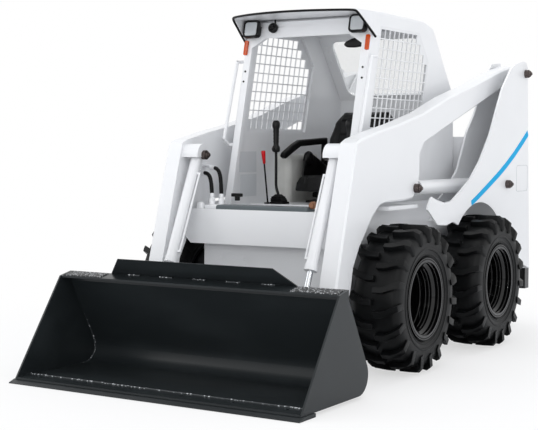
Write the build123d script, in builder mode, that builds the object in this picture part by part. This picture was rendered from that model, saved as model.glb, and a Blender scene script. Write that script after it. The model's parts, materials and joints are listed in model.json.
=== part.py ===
from build123d import *
import math
import os

# Skid steer loader, in millimetres. +X is the machine's left, -Y its front and +Z up. The origin is
# on the floor, below the middle of the overall length. In every outline and place below, u runs
# rearwards from the front axle and z runs up from the floor.

# ---- Driving dimensions ----
WHEELBASE = 1060.0
TYRE_R = 404.0  # loaded radius of a 12-16.5 tyre, out to the tips of its lugs
TYRE_W = 290.0
OVER_TYRES = 1702.0
BUCKET_REACH = 1416.0  # front axle to the cutting edge
REAR_OVERHANG = 1000.0  # rear axle to the back of the bumper
REAR_REACH = WHEELBASE + REAR_OVERHANG
BUCKET_W = 1756.0

RIM_SEAT_R = 209.5  # 16.5 inch rim
RIM_FLANGE_R = 223.5
RIM_W = 262.0  # over both flanges
RIM_T = 9.0
RIM_FLANGE_T = 12.0
DISC_IN = 60.0  # wheel disc, inboard of the tyre's middle
DISC_T = 12.0
HUB_R = 78.0
HUB_L = 74.0
AXLE_R = 62.0
STUB_R = 35.0
RUNNING = 0.05  # radial clearance of a pin in its bore
SEAT_GAP = 0.3  # between curved faces that only rest against each other

TUB_HALF = 450.0
TUB_FRONT = -255.0
TUB_REAR = REAR_REACH - 160.0
TUB_BOTTOM = 215.0
DECK_Z = 705.0
DECK_HALF = 500.0
SHEET = 12.0  # plate of the tub and the side frames
CAB_REAR = TUB_REAR - 600.0
BAY_FRONT = CAB_REAR - 180.0  # engine bay, open at the top

SIDE_X = 488.0  # inner face of the inner side frame
ARM_GAP = 12.0  # between the inner side frame and the arm
ARM_W = 100.0
OUTER_GAP = 76.0  # between the arm and the outer side frame
PIVOT = (TUB_REAR - 65.0, 1710.0)
PIVOT_PIN_R = 30.0
PIVOT_BOSS_R = 52.0
PIVOT_EYE_R = 55.0
PIN_HEAD_R = 24.0
PIN_HEAD_L = 22.0

LIFT_BASE = (WHEELBASE + 455.0, 984.0)
LIFT_TIP = (326.0, 990.0)
LIFT_R = 43.0
LIFT_ROD_R = 24.0
LIFT_ROD_OUT = 99.0  # rod's eye from the barrel's open end
LIFT_BARREL_L = math.dist(LIFT_BASE, LIFT_TIP) - LIFT_ROD_OUT
LIFT_PIN_R = 22.0
LIFT_EYE_W = 60.0
LIFT_EYE_R = 44.0
LIFT_ROOM = 120.0  # free height each way of the rod's eye in the arm

TILT_TOP = (-318.0, 1180.0)
TILT_X = 450.0
TILT_R = 32.0
TILT_ROD_R = 16.0
TILT_BARREL_L = 652.0
TILT_PIN_R = 17.0
TILT_EYE_W = 52.0
TILT_EYE_R = 34.0
HITCH_TOP = (-685.0, 360.0)
ARM_PIN = (-610.0, 190.0)
ARM_PIN_R = 25.0
ARM_END_R = 72.0
ARM_ROUND = 10.0
EYE_INSET = 1.0  # of the arm's two round ends from its flat faces
EAR_T = 12.0
EAR_GAP = 6.0  # between an ear and the eye that it holds

CROSS_FRONT = -360.0
CROSS_D = 80.0
CROSS_Z = (680.0, 876.0)
STEP_HALF = 300.0
STEP_H = 25.0
STEP_ROUND = 16.0

CAB_HALF = 420.0
CAB_WALL = 25.0
POST_W = 52.0
CAB_BOTTOM = DECK_Z
ROOF_Z = 2000.0

BULKHEAD_U = CAB_REAR + 10.0
HOOD_Z = 1290.0
HOOD_T = 35.0
HINGE_PIN_R = 6.0
HINGE_R = 12.0
HINGE_GAP = 2.0
DOOR_T = 40.0
DOOR_Z = (440.0, 1180.0)
DOOR_GAP = 10.0

AXLE_F = (BUCKET_REACH - REAR_REACH) / 2  # front axle, from the origin along Y
WHEEL_X = OVER_TYRES / 2 - TYRE_W / 2
ARM_X = SIDE_X + SHEET + ARM_GAP
OUTER_X = ARM_X + ARM_W + OUTER_GAP  # inner face of the outer side frame
ARM_MID = ARM_X + ARM_W / 2
SIDES = (("l", 1), ("r", -1))

os.makedirs("parts", exist_ok=True)


def side(x):
    """Side-view plane at x: its first axis is u and its second z."""
    return Plane(origin=(x, AXLE_F, 0), x_dir=(0, 1, 0), z_dir=(1, 0, 0))


def outline(x, points):
    """Face in the side-view plane at x, through the points (u, z)."""
    with BuildSketch(side(x)) as face:
        with BuildLine():
            Polyline(*points, close=True)
        make_face()
    return face.sketch


def across(x, place):
    """Location at x and (u, z) whose own Z runs along +X, for pins and bores."""
    return Location((x, AXLE_F + place[0], place[1]), (0, 90, 0))


def at(x, u, z):
    """Location at x, u and z, unturned."""
    return Location((x, AXLE_F + u, z))


def between(x, start, end, offset=0.0):
    """Plane on the line from start to end, (u, z) at x, its normal pointing at the end."""
    length = math.dist(start, end)
    du, dz = (end[0] - start[0]) / length, (end[1] - start[1]) / length
    origin = (x, AXLE_F + start[0] + offset * du, start[1] + offset * dz)
    return Plane(origin=origin, x_dir=(1, 0, 0), z_dir=(0, du, dz))


def slope(start, end):
    """Plane on the line from start to end, (u, z): first axis along X, second along the line."""
    length = math.dist(start, end)
    du, dz = (end[0] - start[0]) / length, (end[1] - start[1]) / length
    return Plane(origin=(0, AXLE_F + start[0], start[1]), x_dir=(1, 0, 0), z_dir=(0, -dz, du))


# ---- Wheels and axles ----
# name, side, u of the axle
WHEELS = (("fl", 1, 0.0), ("fr", -1, 0.0), ("rl", 1, WHEELBASE), ("rr", -1, WHEELBASE))
BEAD_HALF = RIM_W / 2 - RIM_FLANGE_T - SEAT_GAP
HUB_IN = DISC_IN + HUB_L / 2  # inboard end of the hub, from the tyre's middle
HUB_CAP = 10.0
TYRE_FACETS = 34
CARCASS_R = TYRE_R - 27.0
BULGE_R = RIM_FLANGE_R + 80.0  # where the tyre is widest
SHOULDER = 14.0
# distance out from the tyre's middle, and radius there
CARCASS = (
    (-BEAD_HALF, RIM_FLANGE_R + SEAT_GAP),
    (-TYRE_W / 2, BULGE_R),
    (SHOULDER - TYRE_W / 2, CARCASS_R),
    (TYRE_W / 2 - SHOULDER, CARCASS_R),
    (TYRE_W / 2, BULGE_R),
    (BEAD_HALF, RIM_FLANGE_R + SEAT_GAP),
)
LUGS = 17  # in each of the two rows
LUG_ROOT_R = CARCASS_R - 30.0
LUG_TIP = 46.0  # furthest corner of a lug from its middle, along the tread
# distance out from the tyre's middle, and place along the tread
LUG = ((-8.0, 2.0), (-8.0, LUG_TIP), (TYRE_W / 2, -4.0), (TYRE_W / 2, -LUG_TIP))
LUG_TOP = math.sqrt(TYRE_R**2 - LUG_TIP**2)  # flat top of a lug, whose corners reach the tyre's radius
LUG_TURN = math.degrees(math.atan(LUG_TIP / LUG_TOP))


def tread(angle):
    """Plane square to the radius at an angle round the X axis: axes along X and along the tread."""
    a = math.radians(angle)
    return Plane(origin=(0, 0, 0), x_dir=(1, 0, 0), z_dir=(0, math.cos(a), math.sin(a)))


with BuildPart() as tyre_form:
    for w, radius in CARCASS:
        with BuildSketch(Plane(origin=(w, 0, 0), x_dir=(0, 1, 0), z_dir=(1, 0, 0))):
            RegularPolygon(radius, TYRE_FACETS, major_radius=False)
    loft(ruled=True)
    for row in (0, 1):
        turns = [270.0 + LUG_TURN + (i + row / 2) * 360.0 / LUGS for i in range(LUGS)]
        with BuildSketch(*[tread(turn).offset(LUG_ROOT_R) for turn in turns]):
            with BuildLine():
                Polyline(*[(-w if row else w, t) for w, t in LUG], close=True)
            make_face()
        extrude(amount=LUG_TOP - LUG_ROOT_R)
    with BuildSketch(Plane(origin=(-BEAD_HALF, 0, 0), x_dir=(0, 1, 0), z_dir=(1, 0, 0))):
        RegularPolygon(RIM_SEAT_R + SEAT_GAP, TYRE_FACETS, major_radius=False)
    extrude(amount=2 * BEAD_HALF, mode=Mode.SUBTRACT)

RIM_STEP_R = RIM_SEAT_R - 24.0
RIM_STEP = 40.0  # how far in from each flange the rim steps down
RIM_SLOPE = 14.0
with BuildPart() as rim_form:
    with BuildSketch(Plane.XZ):
        with BuildLine():
            Polyline(
                (-RIM_W / 2, RIM_SEAT_R - RIM_T),
                (-RIM_W / 2, RIM_FLANGE_R),
                (-RIM_W / 2 + RIM_FLANGE_T, RIM_FLANGE_R),
                (-RIM_W / 2 + RIM_FLANGE_T, RIM_SEAT_R),
                (RIM_W / 2 - RIM_FLANGE_T, RIM_SEAT_R),
                (RIM_W / 2 - RIM_FLANGE_T, RIM_FLANGE_R),
                (RIM_W / 2, RIM_FLANGE_R),
                (RIM_W / 2, RIM_SEAT_R - RIM_T),
                (RIM_W / 2 - RIM_STEP, RIM_SEAT_R - RIM_T),
                (RIM_W / 2 - RIM_STEP - RIM_SLOPE, RIM_STEP_R),
                (-DISC_IN + DISC_T / 2, RIM_STEP_R),
                (-DISC_IN + DISC_T / 2, HUB_R),
                (-HUB_IN + HUB_L, HUB_R),
                (-HUB_IN + HUB_L, 0),
                (-HUB_IN + HUB_L - HUB_CAP, 0),
                (-HUB_IN + HUB_L - HUB_CAP, STUB_R + RUNNING),
                (-HUB_IN, STUB_R + RUNNING),
                (-HUB_IN, HUB_R),
                (-DISC_IN - DISC_T / 2, HUB_R),
                (-DISC_IN - DISC_T / 2, RIM_SEAT_R - RIM_T),
                close=True,
            )
        make_face()
    revolve(axis=Axis.X)

TYRE_FORMS = {1: tyre_form.part, -1: mirror(tyre_form.part, about=Plane.YZ)}
RIM_FORMS = {1: rim_form.part, -1: mirror(rim_form.part, about=Plane.YZ)}
for name, s, u in WHEELS:
    with BuildPart() as tyre:
        with Locations(Location((s * WHEEL_X, AXLE_F + u, TYRE_R))):
            add(TYRE_FORMS[s])
    tyre.part.label = f"tyre_{name}"
    export_step(tyre.part, f"parts/tyre_{name}.step")

    with BuildPart() as rim:
        with Locations(Location((s * WHEEL_X, AXLE_F + u, TYRE_R))):
            add(RIM_FORMS[s])
    rim.part.label = f"rim_{name}"
    export_step(rim.part, f"parts/rim_{name}.step")

HUB_CLEAR = 5.0
HUB_PLAY = 1.0  # between the end of a stub and its hub cap
with BuildPart() as axles:
    for name, s, u in WHEELS:
        with BuildSketch(side(s * TUB_HALF)):
            with Locations((u, TYRE_R)):
                Circle(AXLE_R)
        extrude(amount=s * (WHEEL_X - HUB_IN - HUB_CLEAR - TUB_HALF))
        with BuildSketch(side(s * TUB_HALF)):
            with Locations((u, TYRE_R)):
                Circle(STUB_R)
        extrude(amount=s * (WHEEL_X - HUB_IN + HUB_L - HUB_CAP - HUB_PLAY - TUB_HALF))
axles.part.label = "axles"
export_step(axles.part, "parts/axles.step")

# ---- Main frame ----
with BuildPart() as main_frame:
    with Locations(at(0, (TUB_FRONT + TUB_REAR) / 2, (TUB_BOTTOM + DECK_Z) / 2)):
        Box(2 * TUB_HALF, TUB_REAR - TUB_FRONT, DECK_Z - TUB_BOTTOM)
    with Locations(at(0, (TUB_FRONT + TUB_REAR) / 2, DECK_Z - SHEET / 2)):
        Box(2 * DECK_HALF, TUB_REAR - TUB_FRONT, SHEET)
    # the closed tunnel below the cab
    with Locations(at(0, (TUB_FRONT + BAY_FRONT) / 2, (TUB_BOTTOM + DECK_Z) / 2)):
        Box(
            2 * (TUB_HALF - SHEET),
            BAY_FRONT - TUB_FRONT - 2 * SHEET,
            DECK_Z - TUB_BOTTOM - 2 * SHEET,
            mode=Mode.SUBTRACT,
        )
    with Locations(at(0, (TUB_FRONT + BAY_FRONT) / 2, TUB_BOTTOM)):
        Box(TUB_HALF, TUB_HALF, 3 * SHEET, mode=Mode.SUBTRACT)
    # the engine bay, open at the top
    with Locations(at(0, (BAY_FRONT + TUB_REAR - SHEET) / 2, (TUB_BOTTOM + SHEET + DECK_Z) / 2)):
        Box(
            2 * (TUB_HALF - SHEET),
            TUB_REAR - SHEET - BAY_FRONT,
            DECK_Z - TUB_BOTTOM - SHEET,
            mode=Mode.SUBTRACT,
        )
    # the bay's mouth behind the rear door
    with Locations(at(0, TUB_REAR, (DOOR_Z[0] + DECK_Z) / 2)):
        Box(2 * (TUB_HALF - SHEET), 3 * SHEET, DECK_Z - DOOR_Z[0], mode=Mode.SUBTRACT)
main_frame.part.label = "main_frame"
export_step(main_frame.part, "parts/main_frame.step")

ENGINE = (420.0, 520.0, 520.0)
ENGINE_U = (BULKHEAD_U + TUB_REAR) / 2
with BuildPart() as engine_block:
    with Locations(at(0, ENGINE_U, TUB_BOTTOM + SHEET + ENGINE[2] / 2)):
        Box(*ENGINE)
engine_block.part.label = "engine_block"
export_step(engine_block.part, "parts/engine_block.step")

# ---- Side frames and towers ----
ARCH_R = 480.0
# u, z round each plate, anticlockwise seen from the machine's left
INNER_PLATE = (
    (TUB_FRONT, DECK_Z),
    (TUB_REAR, DECK_Z),
    (TUB_REAR, 1792.0),
    (TUB_REAR - 165.0, 1775.0),
    (TUB_REAR - 290.0, 1650.0),
    (TUB_REAR - 450.0, 1440.0),
    (TUB_REAR - 570.0, HOOD_Z + 30),
    (TUB_REAR - 720.0, 1080.0),
    (TUB_REAR - 880.0, 960.0),
    (TUB_REAR - 1000.0, 905.0),
    (TUB_FRONT, 905.0),
)
OUTER_TOP = (
    (TUB_REAR + 44.0, 402.0),
    (TUB_REAR - 20.0, 1750.0),
    (TUB_REAR - 50.0, 1785.0),
    (TUB_REAR - 96.0, 1790.0),
    (TUB_REAR - 225.0, 1768.0),
    (TUB_REAR - 313.0, 1737.0),
    (TUB_REAR - 467.0, 1602.0),
    (TUB_REAR - 549.0, 1490.0),
    (TUB_REAR - 678.0, 1300.0),
    (WHEELBASE + 4.0, 1138.0),
    (WHEELBASE - 150.0, 1025.0),
    (WHEELBASE - 300.0, 957.0),
    (WHEELBASE - 418.0, 907.0),
    (WHEELBASE - 517.0, 899.0),
    (WHEELBASE - 630.0, 921.0),
    (WHEELBASE - 699.0, 941.0),
    (WHEELBASE - 737.0, 900.0),
    (WHEELBASE - 752.0, 870.0),
    (WHEELBASE - 614.0, 776.0),
    (WHEELBASE - 500.0, 768.0),
    (WHEELBASE - 400.0, 783.0),
)
for name, s in SIDES:
    with BuildPart() as inner_plate:
        extrude(outline(s * SIDE_X, INNER_PLATE), amount=s * SHEET)
    inner_plate.part.label = f"side_frame_inner_{name}"
    export_step(inner_plate.part, f"parts/side_frame_inner_{name}.step")

    with BuildPart() as outer_plate:
        extrude(outline(s * OUTER_X, OUTER_TOP + ((WHEELBASE - ARCH_R * 0.8, 780.0),)), amount=s * SHEET)
        with Locations(across(s * (OUTER_X + SHEET / 2), (WHEELBASE, TYRE_R))):
            Cylinder(ARCH_R, 2 * SHEET, mode=Mode.SUBTRACT)
        for place, radius in ((PIVOT, PIVOT_PIN_R), (LIFT_BASE, LIFT_PIN_R)):
            with BuildSketch(side(s * (SIDE_X + SHEET))):
                with Locations(place):
                    Circle(radius)
            extrude(amount=s * (OUTER_X - SIDE_X - SHEET))
            with BuildSketch(side(s * (OUTER_X + SHEET))):
                with Locations(place):
                    RegularPolygon(PIN_HEAD_R, 6)
            extrude(amount=s * PIN_HEAD_L)
    outer_plate.part.label = f"side_frame_outer_{name}"
    export_step(outer_plate.part, f"parts/side_frame_outer_{name}.step")

# ---- Wheel-arch liner with the shelf over the front wheel, and the tower's rear web ----
LINER_T = 10.0
ARCH_FRONT_Z = 780.0
SHELF_Z = 900.0
SHELF_START = -60.0
SHELF_T = 20.0
SHELF_OUT = 640.0
SHELF_END = 300.0
WEB_T = 12.0
WEB_TOP = 1640.0
DOOR_HALF = 470.0
DOOR_U = TUB_REAR + 6.0
DOOR_BARREL_L = 90.0
DOOR_TAB = 60.0
DOOR_HINGES = (560.0, 1060.0)  # z of the middle of each hinge barrel
DOOR_AXIS = (DOOR_HALF + HINGE_R, DOOR_U + DOOR_T + HINGE_R)  # x and u
LUG_T = 12.0
LUG_R = 10.0
DOOR_LUG_OUT = 24.0  # beyond the lug's round end, to the side frame
DOOR_LUG_PAD = (16.0, 60.0)
web_slope = (OUTER_TOP[1][0] - OUTER_TOP[0][0]) / (OUTER_TOP[1][1] - OUTER_TOP[0][1])
web_top_u = OUTER_TOP[0][0] + web_slope * (WEB_TOP - OUTER_TOP[0][1])
web_low_u, web_low_z = OUTER_TOP[0]
INNER_OUT = SIDE_X + SHEET  # outer face of the inner side frame

for name, s in SIDES:
    with BuildPart() as liner:
        with BuildSketch(side(s * INNER_OUT)):
            with Locations((WHEELBASE, TYRE_R)):
                Circle(ARCH_R + LINER_T)
                Circle(ARCH_R, mode=Mode.SUBTRACT)
            with Locations((WHEELBASE, TYRE_R)):
                Rectangle(3 * ARCH_R, 2 * ARCH_R, align=(Align.CENTER, Align.MAX), mode=Mode.SUBTRACT)
            with Locations((WHEELBASE, ARCH_FRONT_Z)):
                Rectangle(2 * ARCH_R, 2 * ARCH_R, align=(Align.MAX, Align.MAX), mode=Mode.SUBTRACT)
        extrude(amount=s * (OUTER_X - INNER_OUT))
        shelf_u = (SHELF_START + SHELF_END) / 2
        with Locations(at(s * (INNER_OUT + SHELF_OUT) / 2, shelf_u, SHELF_Z - SHELF_T / 2)):
            Box(SHELF_OUT - INNER_OUT, SHELF_END - SHELF_START, SHELF_T)
        web = (
            (web_low_u, web_low_z),
            (web_top_u, WEB_TOP),
            (web_top_u - WEB_T, WEB_TOP),
            (web_low_u - WEB_T, web_low_z),
        )
        extrude(outline(s * INNER_OUT, web), amount=s * (OUTER_X - INNER_OUT))
        if name == "l":
            x, u = DOOR_AXIS
            for z in DOOR_HINGES:
                for step in (-1, 1):
                    low = z + step * (DOOR_BARREL_L / 2 + HINGE_GAP) - (LUG_T if step < 0 else 0)
                    with BuildSketch(Plane.XY.offset(low)):
                        with Locations((x, AXLE_F + u)):
                            Circle(LUG_R)
                        with Locations((x, AXLE_F + u)):
                            Rectangle(LUG_R + DOOR_LUG_OUT, 2 * LUG_R, align=(Align.MIN, Align.CENTER))
                        with Locations((x + LUG_R + DOOR_LUG_OUT, AXLE_F + u + LUG_R)):
                            Rectangle(DOOR_LUG_PAD[0], 2 * LUG_R + DOOR_LUG_PAD[1], align=(Align.MAX, Align.MAX))
                    extrude(amount=LUG_T)
                with BuildSketch(Plane.XY.offset(z - DOOR_BARREL_L / 2 - HINGE_GAP - LUG_T)):
                    with Locations((x, AXLE_F + u)):
                        Circle(HINGE_PIN_R)
                extrude(amount=DOOR_BARREL_L + 2 * (HINGE_GAP + LUG_T))
    liner.part.label = f"tower_web_{name}"
    export_step(liner.part, f"parts/tower_web_{name}.step")

# ---- Bumper ----
BUMPER_HALF = 655.0
BUMPER_Z = (255.0, 400.0)
BUMPER_D = 70.0
TIE_R = 26.0
TIE_OUT = 420.0  # each tie-down hole, from the middle
BRACE_X = 215.0
BRACE_W = 150.0
with BuildPart() as bumper:
    with Locations(at(0, REAR_REACH - BUMPER_D / 2, sum(BUMPER_Z) / 2)):
        Box(2 * BUMPER_HALF, BUMPER_D, BUMPER_Z[1] - BUMPER_Z[0])
    for s in (-1, 1):
        with Locations(at(s * BRACE_X, (TUB_REAR + REAR_REACH - BUMPER_D) / 2, sum(BUMPER_Z) / 2)):
            Box(BRACE_W, REAR_REACH - BUMPER_D - TUB_REAR, BUMPER_Z[1] - BUMPER_Z[0])
        tie = (s * TIE_OUT, AXLE_F + REAR_REACH - BUMPER_D / 2, sum(BUMPER_Z) / 2)
        with Locations(Location(tie, (90, 0, 0))):
            Cylinder(TIE_R, 2 * BUMPER_D, mode=Mode.SUBTRACT)
bumper.part.label = "rear_bumper"
export_step(bumper.part, "parts/rear_bumper.step")

# ---- Bulkhead behind the cab, engine hood and rear door ----
HOOD_AXIS = (BULKHEAD_U + 24.0, HOOD_Z + 6.0)
HOOD_HALF = SIDE_X - DOOR_GAP
HOOD_TABS = (-300.0, 300.0)
HOOD_TAB_W = 60.0
HOOD_TAB_T = 12.0
HOOD_START = HOOD_AXIS[0] + HINGE_R + 4.0
HOOD_SKIRT_Z = DOOR_Z[1] + DOOR_GAP
with BuildPart() as bulkhead:
    with Locations(at(0, BULKHEAD_U + SHEET / 2, (DECK_Z + HOOD_Z) / 2)):
        Box(2 * SIDE_X, SHEET, HOOD_Z - DECK_Z)
    for x in HOOD_TABS:
        for step in (-1, 1):
            start = x + step * (HOOD_TAB_W / 2 + HINGE_GAP) - (LUG_T if step < 0 else 0)
            with BuildSketch(side(start)):
                with Locations(HOOD_AXIS):
                    Circle(LUG_R)
                with Locations(HOOD_AXIS):
                    Rectangle(HOOD_AXIS[0] - BULKHEAD_U, 2 * LUG_R, align=(Align.MAX, Align.CENTER))
            extrude(amount=LUG_T)
        with BuildSketch(side(x - HOOD_TAB_W / 2 - HINGE_GAP - LUG_T)):
            with Locations(HOOD_AXIS):
                Circle(HINGE_PIN_R)
        extrude(amount=HOOD_TAB_W + 2 * (HINGE_GAP + LUG_T))
bulkhead.part.label = "bulkhead"
export_step(bulkhead.part, "parts/bulkhead.step")

SLOT_W = 300.0
SLOT_H = 16.0
SLOT_PITCH = 40.0
SLOT_X = 185.0  # middle of each column of slots
DOOR_SLOTS = 9
HOOD_SLOTS = 8
GRILLE_Z = (DOOR_Z[0] + DOOR_Z[1]) / 2 + 120.0
GRILLE_U = (HOOD_START + DOOR_U) / 2
with BuildPart() as hood:
    with Locations(at(0, (HOOD_START + DOOR_U + DOOR_T) / 2, HOOD_Z - HOOD_T / 2)):
        Box(2 * HOOD_HALF, DOOR_U + DOOR_T - HOOD_START, HOOD_T)
    with Locations(at(0, DOOR_U + DOOR_T / 2, (HOOD_SKIRT_Z + HOOD_Z) / 2)):
        Box(2 * HOOD_HALF, DOOR_T, HOOD_Z - HOOD_SKIRT_Z)
    for i in range(HOOD_SLOTS):
        for x in (-SLOT_X, SLOT_X):
            with Locations(at(x, GRILLE_U + (i - (HOOD_SLOTS - 1) / 2) * SLOT_PITCH, HOOD_Z - HOOD_T / 2)):
                Box(SLOT_W, SLOT_H, 2 * HOOD_T, mode=Mode.SUBTRACT)
    for x in HOOD_TABS:
        with BuildSketch(side(x - HOOD_TAB_W / 2)):
            with Locations(HOOD_AXIS):
                Circle(HINGE_R)
            with Locations(HOOD_AXIS):
                Rectangle(HOOD_START - HOOD_AXIS[0] + HINGE_GAP, HOOD_TAB_T, align=(Align.MIN, Align.CENTER))
            with Locations(HOOD_AXIS):
                Circle(HINGE_PIN_R + RUNNING, mode=Mode.SUBTRACT)
        extrude(amount=HOOD_TAB_W)
hood.part.label = "engine_hood"
export_step(hood.part, "parts/engine_hood.step")

with BuildPart() as door:
    with Locations(at(0, DOOR_U + DOOR_T / 2, sum(DOOR_Z) / 2)):
        Box(2 * DOOR_HALF, DOOR_T, DOOR_Z[1] - DOOR_Z[0])
    for i in range(DOOR_SLOTS):
        for x in (-SLOT_X, SLOT_X):
            with Locations(at(x, DOOR_U + DOOR_T / 2, GRILLE_Z + (i - (DOOR_SLOTS - 1) / 2) * SLOT_PITCH)):
                Box(SLOT_W, 2 * DOOR_T, SLOT_H, mode=Mode.SUBTRACT)
    for z in DOOR_HINGES:
        with BuildSketch(Plane.XY.offset(z - DOOR_BARREL_L / 2)):
            with Locations((DOOR_AXIS[0], AXLE_F + DOOR_AXIS[1])):
                Circle(HINGE_R)
            with Locations((DOOR_AXIS[0], AXLE_F + DOOR_U + DOOR_T)):
                Rectangle(DOOR_TAB, HINGE_R, align=(Align.MAX, Align.MIN))
            with Locations((DOOR_AXIS[0], AXLE_F + DOOR_AXIS[1])):
                Circle(HINGE_PIN_R + RUNNING, mode=Mode.SUBTRACT)
        extrude(amount=DOOR_BARREL_L)
door.part.label = "rear_door"
export_step(door.part, "parts/rear_door.step")

# ---- Lift arms ----
ARM_OUTLINE = (
    (PIVOT[0], PIVOT[1] + PIVOT_EYE_R),
    (PIVOT[0] - 233.0, 1721.0),
    (PIVOT[0] - 650.0, 1613.0),
    (PIVOT[0] - 1033.0, 1525.0),
    (449.0, 1421.0),
    (123.0, 1353.0),
    (-121.0, 1311.0),
    (-330.0, 1268.0),
    (-378.0, 1248.0),
    (-394.0, 1205.0),
    (-480.0, 920.0),
    (-577.0, 590.0),
    (-682.0, 200.0),
    (-540.0, 200.0),
    (-500.0, 340.0),
    (-438.0, 482.0),
    (-411.0, 595.0),
    (-345.0, 696.0),
    (-267.0, 775.0),
    (-209.0, 841.0),
    (-116.0, 905.0),
    (-44.0, 922.0),
    (192.0, 924.0),
    (300.0, 932.0),
    (360.0, 985.0),
    (387.0, 1064.0),
    (387.0, 1179.0),
    (452.0, 1248.0),
    (PIVOT[0] - 1030.0, 1357.0),
    (PIVOT[0] - 567.0, 1496.0),
    (PIVOT[0] - 178.0, 1613.0),
    (PIVOT[0], PIVOT[1] - PIVOT_EYE_R),
)
for name, s in SIDES:
    with BuildPart() as arm:
        with BuildSketch(side(s * ARM_X)):
            with BuildLine():
                Polyline(*ARM_OUTLINE, close=True)
            make_face()
        extrude(amount=s * ARM_W)
        chamfer(arm.faces().sort_by(Axis.X)[-1 if s > 0 else 0].edges(), ARM_ROUND)
        with BuildSketch(side(s * ARM_X)):
            with Locations(PIVOT):
                Circle(PIVOT_EYE_R - EYE_INSET)
            with Locations(ARM_PIN):
                Circle(ARM_END_R)
        extrude(amount=s * (ARM_W - EYE_INSET))
        with BuildSketch(side(s * (ARM_X + ARM_W))):
            with Locations(PIVOT):
                Circle(PIVOT_BOSS_R)
        extrude(amount=s * (OUTER_GAP - 5.0))
        with BuildSketch(side(s * (ARM_X + ARM_W))):
            with Locations(LIFT_TIP):
                RegularPolygon(PIN_HEAD_R, 6)
        extrude(amount=s * PIN_HEAD_L)
        with Locations(across(s * ARM_MID, PIVOT)):
            Cylinder(PIVOT_PIN_R + RUNNING, 4 * ARM_W, mode=Mode.SUBTRACT)
        with Locations(across(s * ARM_MID, ARM_PIN)):
            Cylinder(ARM_PIN_R + RUNNING, 2 * ARM_W, mode=Mode.SUBTRACT)
        # room for the lift cylinder between the arm's two plates
        with Locations(at(s * ARM_MID, LIFT_TIP[0] - LIFT_ROOM, LIFT_TIP[1] + LIFT_ROOM)):
            Box(
                ARM_W - 2 * SHEET,
                4 * LIFT_ROOM,
                3 * LIFT_ROOM,
                align=(Align.CENTER, Align.MIN, Align.MAX),
                mode=Mode.SUBTRACT,
            )
    arm.part.label = f"lift_arm_{name}"
    export_step(arm.part, f"parts/lift_arm_{name}.step")

with BuildPart() as cross_member:
    with BuildSketch(Plane(origin=(0, AXLE_F + CROSS_FRONT, 0), x_dir=(1, 0, 0), z_dir=(0, 1, 0))):
        with Locations((0, -sum(CROSS_Z) / 2)):
            Rectangle(2 * ARM_X, CROSS_Z[1] - CROSS_Z[0])
    extrude(amount=CROSS_D)
    chamfer(cross_member.edges().filter_by(Axis.Y).group_by(Axis.Z)[0], 40.0)
cross_member.part.label = "arm_cross_member"
export_step(cross_member.part, "parts/arm_cross_member.step")

with BuildPart() as step_bar:
    with Locations(at(0, CROSS_FRONT + CROSS_D / 2, CROSS_Z[1] + STEP_H / 2)):
        Box(2 * STEP_HALF, CROSS_D, STEP_H)
    fillet(step_bar.edges().filter_by(Axis.Y).group_by(Axis.Z)[-1], STEP_ROUND)
    fillet(step_bar.edges().group_by(Axis.Z)[-1].group_by(Axis.Y)[0], STEP_ROUND / 2)
step_bar.part.label = "step_bar"
export_step(step_bar.part, "parts/step_bar.step")

# ---- Cowls that carry the tilt cylinders on the arms ----
COWL_R = 64.0
COWL_T = 12.0
COWL_DROP = 12.0  # of the cowl's sides below the pin
COWL_HEAD_R = 20.0
COWL_HEAD_L = 14.0
TILT_EAR_IN = TILT_X - TILT_EYE_W / 2 - EAR_GAP - EAR_T
with BuildPart() as tilt_brackets:
    for s in (1, -1):
        with BuildSketch(side(s * TILT_EAR_IN)):
            with Locations(TILT_TOP):
                Circle(COWL_R)
                Rectangle(2 * COWL_R, COWL_DROP, align=(Align.CENTER, Align.MAX))
            with Locations((TILT_TOP[0], TILT_TOP[1] - COWL_DROP)):
                Rectangle(3 * COWL_R, COWL_R, align=(Align.CENTER, Align.MAX), mode=Mode.SUBTRACT)
        extrude(amount=s * (ARM_X - TILT_EAR_IN))
        with BuildSketch(side(s * (TILT_EAR_IN + EAR_T))):
            with Locations(TILT_TOP):
                Circle(COWL_R - COWL_T)
                Rectangle(2 * (COWL_R - COWL_T), COWL_R, align=(Align.CENTER, Align.MAX))
        extrude(amount=s * ARM_W, mode=Mode.SUBTRACT)
        with BuildSketch(side(s * TILT_EAR_IN)):
            with Locations(TILT_TOP):
                Circle(TILT_PIN_R)
        extrude(amount=s * (ARM_X - TILT_EAR_IN))
        with BuildSketch(side(s * TILT_EAR_IN)):
            with Locations(TILT_TOP):
                RegularPolygon(COWL_HEAD_R, 6)
        extrude(amount=-s * COWL_HEAD_L)
tilt_brackets.part.label = "tilt_brackets"
export_step(tilt_brackets.part, "parts/tilt_brackets.step")

# ---- Hitch and bucket ----
BACK_LOW = (-750.0, 161.0)
BACK_TOP = (-938.0, 500.0)
LIP_BACK = (-938.0, 548.0)
LIP_FRONT = (-1027.0, 529.0)
FLOOR_Z = 18.0
FLOOR_FRONT = -BUCKET_REACH + 35.0
HEEL_R = 96.0
BUCKET_WALL = 10.0
EDGE_D = 147.0
EDGE_BEVEL = 40.0
EDGE_BOLT_R = 9.0
EDGE_BOLTS = 6
EDGE_PITCH = 300.0
EDGE_BOLT_U = -BUCKET_REACH + 110.0
EDGE_BOLT_X = [(i - (EDGE_BOLTS - 1) / 2) * EDGE_PITCH for i in range(EDGE_BOLTS)]
EDGE_LAP = 10.0  # how far the cutting edge stands out past each side plate
HITCH_T = 24.0
HITCH_EAR_R = 38.0
HITCH_HALF = 640.0
back_len = math.dist(BACK_LOW, BACK_TOP)
BACK_DIR = ((BACK_TOP[0] - BACK_LOW[0]) / back_len, (BACK_TOP[1] - BACK_LOW[1]) / back_len)


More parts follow.
